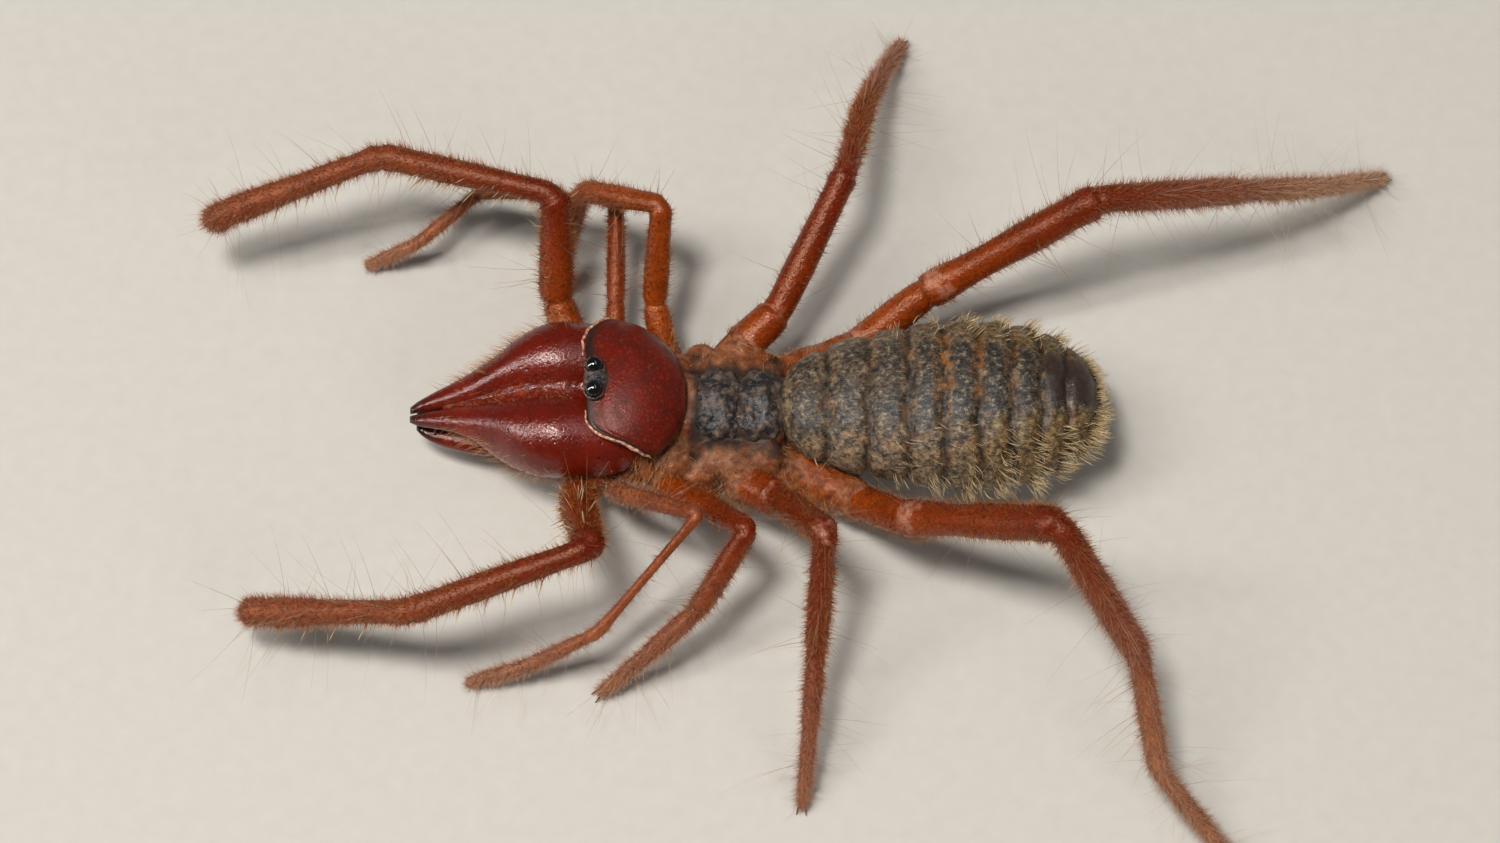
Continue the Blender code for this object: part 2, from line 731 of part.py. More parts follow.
def make_head_plate(collection, tools, finishes):
    """Back plate with the mound that carries the two eyes, and the eyes."""
    plate = arched_plate("propeltidium", PLATE_RINGS, PLATE_THICK, collection, count=13)
    mound_centre = Vector((EYE_X, 0, EYE_Z)) + Vector(MOUND_OFFSET)
    boolean(plate, [ball("mound", mound_centre, MOUND_RADII, tools)], "UNION")
    cups = [ball("cup", eye_centre(side), EYE_RADIUS + EYE_ROOM, tools) for side in SIDES]
    boolean(plate, cups, "DIFFERENCE")
    finish(plate, "plate", finishes)
    for side in SIDES:
        eye = ball("eye_" + side, eye_centre(side), EYE_RADIUS, collection)
        finish(eye, "eye", finishes)


def make_middle_plates(collection, finishes):
    for name, rings in (("mesopeltidium", MIDDLE_PLATE_RINGS), ("metapeltidium", REAR_PLATE_RINGS)):
        plate = arched_plate(name, rings, WAIST_PLATE_THICK, collection)
        finish(plate, "dark_plate", finishes)


def make_body(collection, tools, finishes):
    """Soft body with the ten coxae, hollowed clear of the plates and abdomen."""
    body = body_of_rings("prosoma", BODY_RINGS, collection)
    additions = [coxa(limb, side, tools) for limb in LIMBS for side in SIDES]
    for side in SIDES:
        root, base = limb_joints("leg_4", side)[:2]
        additions += rackets(root, base, LIMBS["leg_4"]["coxa_radii"], RACKETS_ON_COXA, tools)
    additions.append(tube("beak", BEAK_LINE, BEAK_RADII, tools))
    boolean(body, additions, "UNION")
    clearances = [
        arched_plate("room", PLATE_RINGS, PLATE_THICK, tools, GAP),
        arched_plate("room", MIDDLE_PLATE_RINGS, WAIST_PLATE_THICK, tools, GAP),
        arched_plate("room", REAR_PLATE_RINGS, WAIST_PLATE_THICK, tools, GAP),
        body_of_rings("room", ABDOMEN_RINGS, tools, GAP),
    ]
    for side in SIDES:
        clearances.append(loft("room", [jaw_ring(*grown(ring), side) for ring in JAW_RINGS], tools))
    for room in clearances:
        boolean(body, [room], "DIFFERENCE")
    finish(body, "flesh", finishes)


def abdomen_stations():
    """Places of the rings: each crease and two rounds between creases."""
    edges = (ABDOMEN_FRONT_X,) + CREASES_X + (ABDOMEN_REAR_X,)
    stations = []
    for start, end in zip(edges, edges[1:]):
        stations.append((start, start in CREASES_X))
        stations.append((start + (end - start) * 0.3, False))
        stations.append((start + (end - start) * 0.7, False))
    last = edges[-1]
    return stations + [(last - 0.18, False), (last, False)]


def abdomen_point(x, turn):
    """Point of the skin at x, turned up from the animal's right side."""
    half_width, top, bottom = (smooth_value(ABDOMEN_RINGS, column, x) for column in (1, 2, 3))
    across = power(math.cos(turn), BODY_SQUARENESS) * half_width
    up = power(math.sin(turn), BODY_SQUARENESS) * (top - bottom) / 2
    return Vector((x, across, (top + bottom) / 2 + up))


def abdomen_normal(x, turn):
    step = 0.02
    along = abdomen_point(x + step, turn) - abdomen_point(x - step, turn)
    round_it = abdomen_point(x, turn + step) - abdomen_point(x, turn - step)
    return round_it.cross(along).normalized()


def clear_of_limbs(points):
    """True where no hind limb or coxa comes within a gap of the points."""
    for limb in ("leg_3", "leg_4"):
        for side in SIDES:
            joints = limb_joints(limb, side)
            for start, end in zip(joints, joints[1:]):
                for point in points:
                    near, share = intersect_point_line(point, start, end)
                    near = start.lerp(end, min(max(share, 0.0), 1.0))
                    if (point - near).length < LIMB_ROOM:
                        return False
    return True


def abdomen_locks(tools):
    """Locks in rows down both sides, and a ring of them round the rear end."""
    draw = random.Random(SEED)
    spots = []
    for degrees, start, end, spacing, length in LOCK_ROWS:
        count = round((end - start) / spacing)
        for side in (1, -1):
            for index in range(count):
                x = start + (end - start) * (index + draw.uniform(0.3, 0.7)) / count
                turn = math.radians(degrees + draw.uniform(-5, 5))
                spots.append((x, turn if side == 1 else math.pi - turn, length))
    for index in range(END_LOCKS):
        turn = 2 * math.pi * (index + 0.5) / END_LOCKS
        spots.append((ABDOMEN_REAR_X - 0.30, turn, END_LOCK_LENGTH))
    locks = []
    for x, turn, length in spots:
        root, normal = abdomen_point(x, turn), abdomen_normal(x, turn)
        size = length * draw.uniform(0.88, 1.12)
        lie = Vector((1.0, draw.uniform(-0.15, 0.15), -0.12))
        tip = root + normal * LOCK_BEND * size + Vector((size, 0, 0))
        if clear_of_limbs((root, tip)):
            locks.append(lock(root, normal, lie, size, tools))
    return locks


def make_abdomen(collection, tools, finishes):
    sections = []
    for x, creased in abdomen_stations():
        half_width, top, bottom = (smooth_value(ABDOMEN_RINGS, column, x) for column in (1, 2, 3))
        inset = CREASE_DEPTH if creased else 0.0
        sections.append(oval(x, 0.0, half_width - inset, top - inset, bottom + inset,
                             BODY_SIDES, BODY_SQUARENESS))
    abdomen = loft("abdomen", sections, collection)
    boolean(abdomen, abdomen_locks(tools), "UNION")
    finish(abdomen, "abdomen", finishes)


def to_metres_and_centre(collection):
    """Scale the meshes to metres and put the middle of the box over the origin."""
    corners = [vertex.co for item in collection.objects for vertex in item.data.vertices]
    middle_x = (min(c.x for c in corners) + max(c.x for c in corners)) / 2
    middle_y = (min(c.y for c in corners) + max(c.y for c in corners)) / 2
    place = Matrix.Scale(MM, 4) @ Matrix.Translation((-middle_x, -middle_y, 0))
    for item in collection.objects:
        item.data.transform(place)


def main():
    clear_scene()
    collection = bpy.data.collections.new("camel_spider")
    tools = bpy.data.collections.new("cutters")
    bpy.context.scene.collection.children.link(collection)
    bpy.context.scene.collection.children.link(tools)
    finishes = {name: make_finish(name) for name in FINISHES}
    for side in SIDES:
        make_jaw(side, collection, tools, finishes)
    make_head_plate(collection, tools, finishes)
    make_middle_plates(collection, finishes)
    make_body(collection, tools, finishes)
    make_abdomen(collection, tools, finishes)
    for limb in LIMBS:
        for side in SIDES:
            make_limb(limb, side, collection, tools, finishes)
    to_metres_and_centre(collection)


main()
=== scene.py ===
"""Looks of a camel spider (solifuge), a still life-size museum model.

Pieces are modelled in millimetres in the animal's own frame: it faces -X, its
right side is +Y, its midline is y = 0 and its feet stand on z = 0. settle()
then turns each piece to metres and sets it over the CAD frame.
"""
import math

import bpy
import numpy as np
from mathutils import Matrix, Vector


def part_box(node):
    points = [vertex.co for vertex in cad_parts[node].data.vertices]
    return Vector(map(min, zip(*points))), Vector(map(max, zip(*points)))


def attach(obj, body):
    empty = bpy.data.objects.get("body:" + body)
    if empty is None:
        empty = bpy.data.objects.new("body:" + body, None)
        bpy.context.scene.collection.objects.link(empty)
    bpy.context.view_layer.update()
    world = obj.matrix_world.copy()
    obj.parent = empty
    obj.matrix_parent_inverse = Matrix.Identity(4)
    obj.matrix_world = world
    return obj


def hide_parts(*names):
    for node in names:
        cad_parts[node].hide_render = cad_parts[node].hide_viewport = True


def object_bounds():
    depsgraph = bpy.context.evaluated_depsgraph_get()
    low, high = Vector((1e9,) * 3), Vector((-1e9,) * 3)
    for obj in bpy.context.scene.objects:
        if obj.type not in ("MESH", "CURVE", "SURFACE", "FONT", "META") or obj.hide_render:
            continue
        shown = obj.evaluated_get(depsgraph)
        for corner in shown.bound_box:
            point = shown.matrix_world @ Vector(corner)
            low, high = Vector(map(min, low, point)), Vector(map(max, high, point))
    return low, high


MM = 0.001
SIDES = {"right": 1, "left": -1}

# Eyes, as the CAD has them. They also give the frame's place over the animal.
EYE_RADIUS = 0.34
EYE_X, EYE_Y, EYE_Z = -5.4, 0.47, 5.52
EYE_FORWARD = 0.10          # how far a lens stands out of the solid's middle

# Camera: what it looks at, its height above the level, distance and lens
CAMERA_TARGET = (0.0, -1.0, 4.0)
CAMERA_RISE = math.radians(64)
CAMERA_DISTANCE = 147.8
CAMERA_LENS, SENSOR_WIDTH = 100.0, 36.0

# Jaw: x, outer y, top z, bottom z
JAW_RINGS = (
    (-3.75, 1.70, 3.95, 3.30), (-3.90, 2.20, 4.25, 3.02), (-4.15, 2.50, 4.46, 2.80),
    (-4.55, 2.73, 4.66, 2.62), (-5.1, 2.88, 4.86, 2.50), (-6.0, 2.91, 5.06, 2.40),
    (-6.8, 2.95, 5.16, 2.34), (-7.6, 2.80, 5.04, 2.18), (-8.4, 2.36, 4.74, 2.00),
    (-9.0, 1.90, 4.42, 1.90), (-9.4, 1.63, 4.17, 2.25), (-9.9, 1.31, 3.87, 2.60),
    (-10.6, 0.97, 3.46, 2.74), (-11.3, 0.71, 3.10, 2.62), (-11.9, 0.48, 2.76, 2.42),
    (-12.2, 0.30, 2.54, 2.40),
)
FINGER_RINGS = (
    (-9.0, 1.30, 2.35, 1.60), (-9.5, 1.32, 2.34, 1.47), (-10.2, 1.16, 2.20, 1.40),
    (-10.8, 0.96, 2.06, 1.36), (-11.4, 0.72, 1.97, 1.44), (-11.8, 0.50, 1.98, 1.64),
    (-12.0, 0.34, 2.04, 1.84),
)
JAW_INNER_Y = 0.04
# Teeth: x, distance from the midline, length
UPPER_TEETH = ((-10.0, 0.66, 0.26), (-10.4, 0.60, 0.36), (-10.85, 0.52, 0.24),
               (-11.25, 0.46, 0.30), (-11.6, 0.38, 0.20))
LOWER_TEETH = ((-10.3, 0.62, 0.22), (-10.7, 0.56, 0.32), (-11.3, 0.45, 0.24))
# Valley between the jaws' tops: half widths of its colour and of the skin in it at these x
VALLEY_X = (-11.0, -9.5, -8.0, -6.0)
VALLEY_TINT = (0.08, 0.24, 0.45, 0.58)
VALLEY_SKIN = (0.10, 0.30, 0.52, 0.66)

# Racket organs: the hind leg's joint and the share of the way to the next, and the stations
# of one, drawn along its stalk
RACKETS = ((0, 0.38), (0, 0.58), (0, 0.78), (1, 0.30), (1, 0.62))
RACKET_STATIONS = ((0, 0, 0, 0.10, 0.10), (0.30, 0, 0, 0.07, 0.07), (0.42, 0, 0, 0.16, 0.06),
                   (0.62, 0, 0, 0.34, 0.05), (0.72, 0, 0, 0.24, 0.03))
# Claw: way ahead, outwards and up of each point of its line
CLAW_LINE = ((0, 0, 0), (0.16, 0.05, 0.10), (0.32, 0.09, 0.08), (0.42, 0.10, 0))
# Pale seam before the head's plate: share of its length, and its radius
LINE_WIDTHS = ((0.0, 0.02), (0.1, 0.045), (0.3, 0.075), (0.45, 0.05), (0.7, 0.065), (1.0, 0.03))

# Back plate over the head: x, half width, top z, rim z
PLATE_RINGS = (
    (-5.85, 2.78, 5.14, 4.25), (-5.4, 2.88, 5.34, 4.20), (-4.9, 2.92, 5.46, 4.15),
    (-4.3, 2.82, 5.46, 4.08), (-3.8, 2.64, 5.36, 4.02), (-3.3, 2.30, 5.16, 3.98),
    (-2.85, 1.82, 4.90, 3.96), (-2.5, 1.24, 4.62, 3.96), (-2.28, 0.62, 4.34, 3.96),
)
# Front edge of that plate on each side: share of the way from the midline to the side, and x.
# The left side of the real one reaches less far forward.
PLATE_EDGE = {
    1: ((0.0, -5.78), (0.25, -5.80), (0.40, -5.84), (0.53, -5.74), (0.66, -5.46), (0.86, -4.95),
        (1.0, -4.60)),
    -1: ((0.0, -5.78), (0.25, -5.76), (0.38, -5.66), (0.46, -5.38), (0.52, -4.93),
         (0.58, -4.46), (0.69, -3.98), (0.85, -3.58), (1.0, -3.38)),
}
WAIST_PLATES = {
    "mesopeltidium": ((-2.0, 1.05, 3.96, 3.60), (-1.6, 1.36, 4.04, 3.50),
                      (-0.8, 1.40, 4.04, 3.46), (-0.40, 1.28, 4.00, 3.52)),
    "metapeltidium": ((-0.38, 1.26, 3.98, 3.52), (0.1, 1.38, 4.02, 3.46),
                      (0.7, 1.34, 4.02, 3.46), (1.10, 1.05, 3.96, 3.56)),
}
# Soft body under the plates: x, half width, top z, bottom z
BODY_RINGS = (
    (-5.7, 2.40, 4.60, 2.45), (-5.2, 2.60, 4.80, 2.30), (-4.6, 2.62, 4.80, 2.05),
    (-4.0, 2.45, 4.60, 1.75), (-3.2, 2.02, 4.30, 1.50), (-2.5, 1.66, 4.02, 1.36),
    (-2.1, 1.60, 4.00, 1.34), (-1.8, 1.58, 3.86, 1.34), (-0.4, 1.58, 3.84, 1.34),
    (0.4, 1.48, 3.84, 1.50), (1.3, 1.20, 3.80, 1.90),
)
# Flesh between the leg roots of each side: middle x, y and z, and half sizes
FLESH = (
    (-5.3, 2.45, 2.6, 0.8, 0.5, 0.5), (-4.0, 2.20, 2.9, 0.9, 0.7, 0.6),
    (-2.8, 1.95, 3.0, 0.9, 0.75, 0.5), (-1.8, 2.20, 2.7, 0.8, 0.85, 0.5),
    (-1.5, 2.65, 2.2, 0.7, 0.6, 0.45), (-0.9, 1.90, 3.05, 1.0, 0.7, 0.4),
    (0.4, 1.90, 2.8, 0.9, 0.85, 0.5), (1.1, 1.90, 2.4, 0.8, 0.7, 0.45),
)
# Places between the leg roots where shade is painted dark into the soft skin: x and y
SHADED_HOLLOWS = ((-4.2, 2.5), (-1.95, 2.0), (0.85, 1.85), (-1.2, 2.9))
BEAK_LINE = ((-4.6, 0, 2.5), (-5.6, 0, 2.05), (-6.5, 0, 1.75), (-7.15, 0, 1.6))
BEAK_WIDTHS = ((0, 0.68), (1.1, 0.48), (2.1, 0.34), (2.7, 0.16))
# Size of the grid on which the soft body's parts are melted into one skin
MELT = 0.075
# Abdomen: x, half width, top z, bottom z
ABDOMEN_RINGS = (
    (1.15, 0.82, 3.88, 2.47), (1.5, 1.36, 4.16, 2.23), (2.2, 1.91, 4.46, 1.98),
    (3.2, 2.31, 4.81, 1.78), (4.5, 2.66, 5.11, 1.53), (6.0, 2.94, 5.31, 1.28),
    (7.5, 3.08, 5.46, 1.13), (9.0, 3.01, 5.41, 1.18), (10.3, 2.71, 5.26, 1.43),
    (11.3, 2.11, 4.96, 1.83), (12.0, 1.36, 4.56, 2.33), (12.4, 0.50, 4.06, 2.93),
)
CREASES_X = (2.7, 4.2, 5.6, 6.85, 8.1, 9.25, 10.3, 11.2)
ABDOMEN_ENDS = (ABDOMEN_RINGS[0][0], ABDOMEN_RINGS[-1][0])
ABDOMEN_EDGES = np.array((ABDOMEN_ENDS[0], *CREASES_X, ABDOMEN_ENDS[1]))
CAP_Y = 0.25                # middle of the dark plates at the abdomen's end

# Limbs, as the CAD has them: joint on the body, inner end of the coxa, the coxa's two radii,
# and for each segment its length, its radius near the body and that at its far end
SEGMENTS = ("trochanter", "femur", "tibia", "metatarsus", "tarsus")
LIMBS = {
    "palp": ((-6.1, 2.6, 1.8), (-4.4, 1.4, 2.2), (0.75, 0.62), (
        (2.3, 0.60, 0.62), (4.1, 0.64, 0.62), (6.6, 0.50, 0.52), (5.8, 0.52, 0.54),
        (1.1, 0.50, 0.46))),
    "leg_1": ((-4.9, 2.7, 2.2), (-3.9, 1.4, 2.1), (0.55, 0.42), (
        (1.8, 0.38, 0.36), (3.8, 0.36, 0.32), (5.6, 0.27, 0.27), (2.9, 0.29, 0.27),
        (2.6, 0.27, 0.25))),
    "leg_2": ((-3.1, 2.7, 2.4), (-2.6, 1.3, 2.2), (0.65, 0.52), (
        (1.7, 0.50, 0.48), (3.9, 0.48, 0.44), (3.6, 0.43, 0.41), (2.6, 0.38, 0.34),
        (2.5, 0.31, 0.26))),
    "leg_3": ((-0.2, 2.8, 2.7), (-1.0, 1.2, 2.2), (0.85, 0.72), (
        (1.6, 0.72, 0.66), (5.6, 0.58, 0.52), (4.8, 0.47, 0.40), (2.8, 0.37, 0.32),
        (3.0, 0.29, 0.25))),
    "leg_4": ((3.9, 3.1, 1.8), (0.2, 1.2, 1.9), (0.95, 0.66), (
        (3.2, 0.66, 0.62), (7.3, 0.70, 0.66), (5.8, 0.56, 0.50), (4.2, 0.44, 0.38),
        (4.3, 0.35, 0.28))),
}
# Limbs whose trochanter is a node of its own and not part of the next one
OWN_TROCHANTER = ("leg_3", "leg_4")
# The pose: for each segment its heading away from straight ahead, outwards
# from the midline, and its rise above the level, both in degrees.
POSE = {
    ("palp", "right"): ((63, 28), (91, 48), (15, -2), (-16, -13), (-20, -16)),
    ("palp", "left"): ((90, 51), (102, 43), (17, -10), (-12, -26), (-5, -8)),
    ("leg_1", "right"): ((91, 21), (90, 18), (14, -19), (-40, -9), (-5, -49)),
    ("leg_1", "left"): ((116, 53), (147, 33), (42, -31), (13, -33), (7, -26)),
    ("leg_2", "right"): ((76, 31), (97, 52), (26, -25), (-53, -68), (-62, -68)),
    ("leg_2", "left"): ((135, 35), (132, 37), (47, -44), (32, -34), (26, -43)),
    ("leg_3", "right"): ((141, 18), (119, 25), (101, -27), (106, -36), (111, -31)),
    ("leg_3", "left"): ((144, 18), (116, 51), (84, -56), (85, -30), (83, -41)),
    ("leg_4", "right"): ((149, 26), (163, 30), (166, -18), (156, -33), (147, -37)),
    ("leg_4", "left"): ((131, 45), (155, 40), (133, -43), (103, -36), (136, -31)),
}
FOOT_Z = 0.17               # height of a claw's middle above the ground
SKIN_DEPTH = 0.03           # how far the limb's skin lies inside its solid
JOINT_WAIST = 0.88          # a limb's radius at a joint beside that of its segments
INNER_END = 0.8             # where in the coxa a limb's skin begins, in coxa radii

# How full a segment is at these shares of its length
FULL_AT = (0.12, 0.35, 0.62, 0.86)
FULLNESS = {
    "coxa": (0.95, 1.04, 1.06, 1.0),
    "trochanter": (0.96, 1.02, 1.04, 1.02),
    "femur": (1.0, 1.05, 1.0, 0.97),
    "tibia": (0.93, 0.99, 1.02, 0.99),
    "metatarsus": (0.90, 0.96, 1.0, 0.98),
    "tarsus": (0.94, 0.98, 0.96, 0.88),
    "palp femur": (1.04, 1.02, 0.95, 0.90),
    "palp tibia": (0.88, 0.93, 0.97, 0.94),
    "palp metatarsus": (0.84, 0.83, 0.88, 0.98),
    "palp tarsus": (1.03, 1.06, 1.06, 1.02),
    "leg_1 tibia": (0.80, 0.72, 0.72, 0.82),
    "leg_1 metatarsus": (0.84, 0.90, 0.96, 0.94),
    "leg_4 femur": (0.94, 0.86, 0.96, 0.94),
}
# Colour at the joints from the coxa's inner end outwards: 0 is orange, 1 deep red
DEEP = {
    "palp": (0.0, 0.05, 0.30, 1.0, 0.65, 0.60, 0.70),
    "leg_2": (0.0, 0.10, 0.30, 0.80, 0.65, 0.55, 0.55),
    "leg_3": (0.0, 0.10, 0.60, 0.95, 0.95, 0.85, 0.65),
    "leg_4": (0.0, 0.05, 0.30, 0.92, 0.85, 0.60, 0.50),
    ("leg_1", "left"): (0.0, 0.4, 0.7, 0.8, 0.40, 0.45, 0.50),
    ("leg_1", "right"): (0.0, 0.3, 0.6, 0.7, 0.50, 0.45, 0.50),
    ("leg_2", "right"): (0.0, 0.10, 0.10, 0.10, 0.45, 0.55, 0.55),
}
# The same for the tan of the feet
TAN = {
    "palp": (0.0, 0.0, 0.0, 0.0, 0.10, 0.15, 0.20),
    "leg_2": (0.1, 0.0, 0.0, 0.0, 0.15, 0.45, 0.65),
    "leg_3": (0.1, 0.0, 0.0, 0.0, 0.05, 0.30, 0.60),
    "leg_4": (0.1, 0.0, 0.0, 0.0, 0.30, 0.60, 0.75),
    ("leg_1", "left"): (0.4, 0.40, 0.40, 0.20, 0.25, 0.50, 0.65),
    ("leg_1", "right"): (0.0, 0.0, 0.0, 0.0, 0.15, 0.50, 0.65),
    ("leg_4", "right"): (0.1, 0.0, 0.0, 0.0, 0.40, 1.0, 1.0),
}
# How dense the fuzz is at the joints
DENSE = {
    "palp": (0.0, 0.1, 0.35, 0.40, 0.7, 1.0, 2.0),
    "leg_2": (0.0, 0.1, 0.25, 0.12, 0.60, 0.9, 1.0),
    "leg_3": (0.0, 0.1, 0.08, 0.25, 0.8, 1.0, 1.0),
    "leg_4": (0.0, 0.1, 0.15, 0.45, 0.8, 1.0, 1.0),
    ("leg_1", "right"): (0.0, 0.1, 0.5, 0.6, 0.6, 0.9, 1.0),
    ("leg_1", "left"): (0.0, 0.2, 0.3, 0.05, 0.2, 0.9, 1.0),
}
# Bare soft rings of a limb: joint, share of the segment beyond it, strength, width in mm
BARE = {
    "palp": ((1, 0.0, 0.4, 0.22), (4, 0.0, 0.2, 0.10)),
    "leg_1": ((1, 0.0, 0.5, 0.20), (4, 0.0, 0.4, 0.12)),
    "leg_2": ((1, 0.0, 0.5, 0.24), (2, 0.0, 0.45, 0.14), (4, 0.0, 0.45, 0.12)),
    "leg_3": ((1, 0.0, 0.60, 0.45), (2, 0.0, 0.45, 0.24), (3, 0.0, 0.45, 0.26),
              (4, 0.0, 0.35, 0.10)),
    "leg_4": ((1, 0.05, 0.62, 0.60), (2, 0.10, 0.64, 0.50), (3, 0.0, 0.35, 0.16),
              (4, 0.0, 0.35, 0.12)),
}
# Stiff spines under the limbs, as the CAD has them: pairs along a segment, and length
SPINES = {
    ("palp", "tibia"): (4, 0.80),
    ("palp", "metatarsus"): (3, 0.75),
    ("leg_3", "tibia"): (2, 0.60),
    ("leg_4", "tibia"): (2, 0.65),
    ("leg_4", "metatarsus"): (2, 0.55),
}
SPINE_START, SPINE_REACH = 0.2, 0.62   # shares of the segment's length
SPINE_TURN = math.radians(62)          # from straight down towards the sides
SPINE_LEAN = 0.55                      # towards the segment's far end
SPINE_RADIUS = 0.034

# Hair counts, those of the limbs for each mm along a limb as thick as a palp
FUZZ_PER_MM, SETAE_PER_MM, PALP_BRISTLES = 460, 6, 46
BACK_BRISTLES, FLANK_TUFTS, TUFT_CLUMPS = 6500, 1600, 430
JAW_HAIRS = {"right": 300, "left": 200}
VALLEY_HAIRS, CHEEK_HAIRS, SHORT_ROOT_HAIRS, LONG_ROOT_HAIRS = 650, 320, 3000, 600
LIMB_SEED, ABDOMEN_SEED, HEAD_SEED = 100, 11, 7
BAKE_PATCH = 0.003          # width of a hair's patch on the OFBake map
HAIR_SPARE = 0.022          # how far hairs may stand out of the CAD's box, beside its size
WHITE = (1.0, 1.0, 1.0)


def srgb(code):
    """A hex colour as the linear values that shaders take."""
    values = [int(code[i:i + 2], 16) / 255 for i in (1, 3, 5)]
    linear = [v / 12.92 if v <= 0.04045 else ((v + 0.055) / 1.055) ** 2.4 for v in values]
    return (*linear, 1.0)


def smooth_value(rings, column, x):
    """Value of one column of a ring table at x, on a smooth curve through it."""
    rows = sorted(rings)
    if x <= rows[0][0]:
        return rows[0][column]
    if x >= rows[-1][0]:
        return rows[-1][column]
    index = max(i for i in range(len(rows) - 1) if rows[i][0] <= x)
    before = rows[max(index - 1, 0)]
    start, end = rows[index], rows[index + 1]
    after = rows[min(index + 2, len(rows) - 1)]
    span = end[0] - start[0]
    share = (x - start[0]) / span
    slope_in = (end[column] - before[column]) / (end[0] - before[0]) * span
    slope_out = (after[column] - start[column]) / (after[0] - start[0]) * span
    square, cube = share * share, share ** 3
    return ((2 * cube - 3 * square + 1) * start[column]
            + (cube - 2 * square + share) * slope_in
            + (3 * square - 2 * cube) * end[column]
            + (cube - square) * slope_out)


def ring_at(rings, x):
    """The three sizes of a ring table at x: outer side, top and bottom."""
    return [smooth_value(rings, column, x) for column in (1, 2, 3)]


def rings_at(rings, xs):
    """Those sizes at many places along x."""
    return np.array([ring_at(rings, x) for x in xs]).T


def bump_at(x, middle, width):
    """A soft bump of height 1 around the middle."""
    return np.exp(-((x - middle) / width) ** 2)


def ramp(distance, length):
    """Rises from 0 to 1 over this length."""
    return np.clip(distance / length, 0, 1)


def under(x, edge, width):
    """1 below an edge and 0 above it, with a soft step of this width."""
    return 1 / (1 + np.exp((x - edge) / width))


# Modelling

def start(kind, **settings):
    """Add a primitive with nothing else selected, its place kept in its mesh."""
    bpy.ops.object.select_all(action="DESELECT")
    getattr(bpy.ops.mesh, "primitive_" + kind + "_add")(**settings)
    bpy.ops.object.transform_apply(location=True, rotation=True, scale=True)
    return bpy.context.object


def pick(piece):
    bpy.ops.object.select_all(action="DESELECT")
    piece.select_set(True)
    bpy.context.view_layer.objects.active = piece


def apply(piece, kind, **settings):
    """Add one modifier with its settings and apply it."""
    pick(piece)
    modifier = piece.modifiers.new(kind.lower(), kind)
    for name, value in settings.items():
        setattr(modifier, name, value)
    bpy.ops.object.modifier_apply(modifier=modifier.name)


def placed(name, data):
    """Put an object with this data into the scene."""
    item = bpy.data.objects.new(name, data)
    bpy.context.scene.collection.objects.link(item)
    return item


def drawn(name, stations, sides):
    """Closed body drawn out of a disc through oval stations.

    A station is x, y, z of its middle, its half width along y and half height along z.
    """
    x, y, z, wide, high = stations[0]
    piece = start("circle", vertices=sides, radius=1.0, fill_type="NGON",
                  rotation=(0, math.pi / 2, 0))
    piece.name = name
    pick(piece)
    bpy.ops.object.mode_set(mode="EDIT")
    bpy.ops.mesh.select_all(action="SELECT")
    bpy.ops.transform.resize(value=(1, wide, high))
    bpy.ops.transform.translate(value=(x, y, z))
    for before, after in zip(stations, stations[1:]):
        step = [after[i] - before[i] for i in range(3)]
        bpy.ops.mesh.extrude_region_move(TRANSFORM_OT_translate={"value": step})
        grow = (1, after[3] / before[3], after[4] / before[4])
        bpy.ops.transform.resize(value=grow, center_override=after[:3])
    bpy.ops.mesh.select_all(action="SELECT")
    bpy.ops.mesh.normals_make_consistent(inside=False)
    bpy.ops.object.mode_set(mode="OBJECT")
    return piece


def bend_along(piece, points):
    """Bend a piece that lies along x from 0 onto a path, by a curve modifier."""
    curve = bpy.data.curves.new("path", "CURVE")
    curve.dimensions = "3D"
    spline = curve.splines.new("POLY")
    spline.points.add(len(points) - 1)
    for spot, point in zip(spline.points, points):
        spot.co = (*point, 1.0)
    carrier = placed("path", curve)
    apply(piece, "CURVE", object=carrier, deform_axis="POS_X")
    bpy.data.objects.remove(carrier, do_unlink=True)


def round_rows(widths):
    """Round stations for drawn(), from rows of x and radius."""
    return [(x, 0.0, 0.0, radius, radius) for x, radius in widths]


def subdivided(rows, count):
    """The same stations at even steps along x."""
    table = np.array(rows, float).T
    return [(x, *(np.interp(x, table[0], column) for column in table[1:]))
            for x in np.linspace(table[0][0], table[0][-1], count)]


def tube(name, widths, path, sides, count=None):
    """Round body along a path, from rows of the way along it and the radius there."""
    rows = round_rows(widths)
    piece = drawn(name, subdivided(rows, count) if count else rows, sides)
    bend_along(piece, path)
    return piece


def length_of(path):
    return sum((after - before).length for before, after in zip(path, path[1:]))


def folded(piece, cell, strength, middle=0.5, depth=2):
    """Press a cloudy pattern with cells of this width into a piece."""
    folds = bpy.data.textures.new("folds", "CLOUDS")
    folds.noise_scale, folds.noise_depth = cell, depth
    apply(piece, "DISPLACE", texture=folds, strength=strength, mid_level=middle,
          texture_coords="LOCAL")


def fetched(items, value, width, kind):
    """One value of all items of a mesh, as an array this wide."""
    values = np.empty(len(items) * width, kind)
    items.foreach_get(value, values)
    return values if width == 1 else values.reshape(-1, width)


def vertices(piece, value="co"):
    """Places of a piece's vertices, or their normals."""
    return fetched(piece.data.vertices, value, 3, float)


def move_vertices(piece, spots):
    piece.data.vertices.foreach_set("co", spots.ravel())
    piece.data.update()


def mark(piece, **marks):
    """Store numbers on the vertices, for the materials to read."""
    for name, values in marks.items():
        attribute = piece.data.attributes.new(name, "FLOAT", "POINT")
        values = np.broadcast_to(values, len(piece.data.vertices)).astype(float)
        attribute.data.foreach_set("value", values)


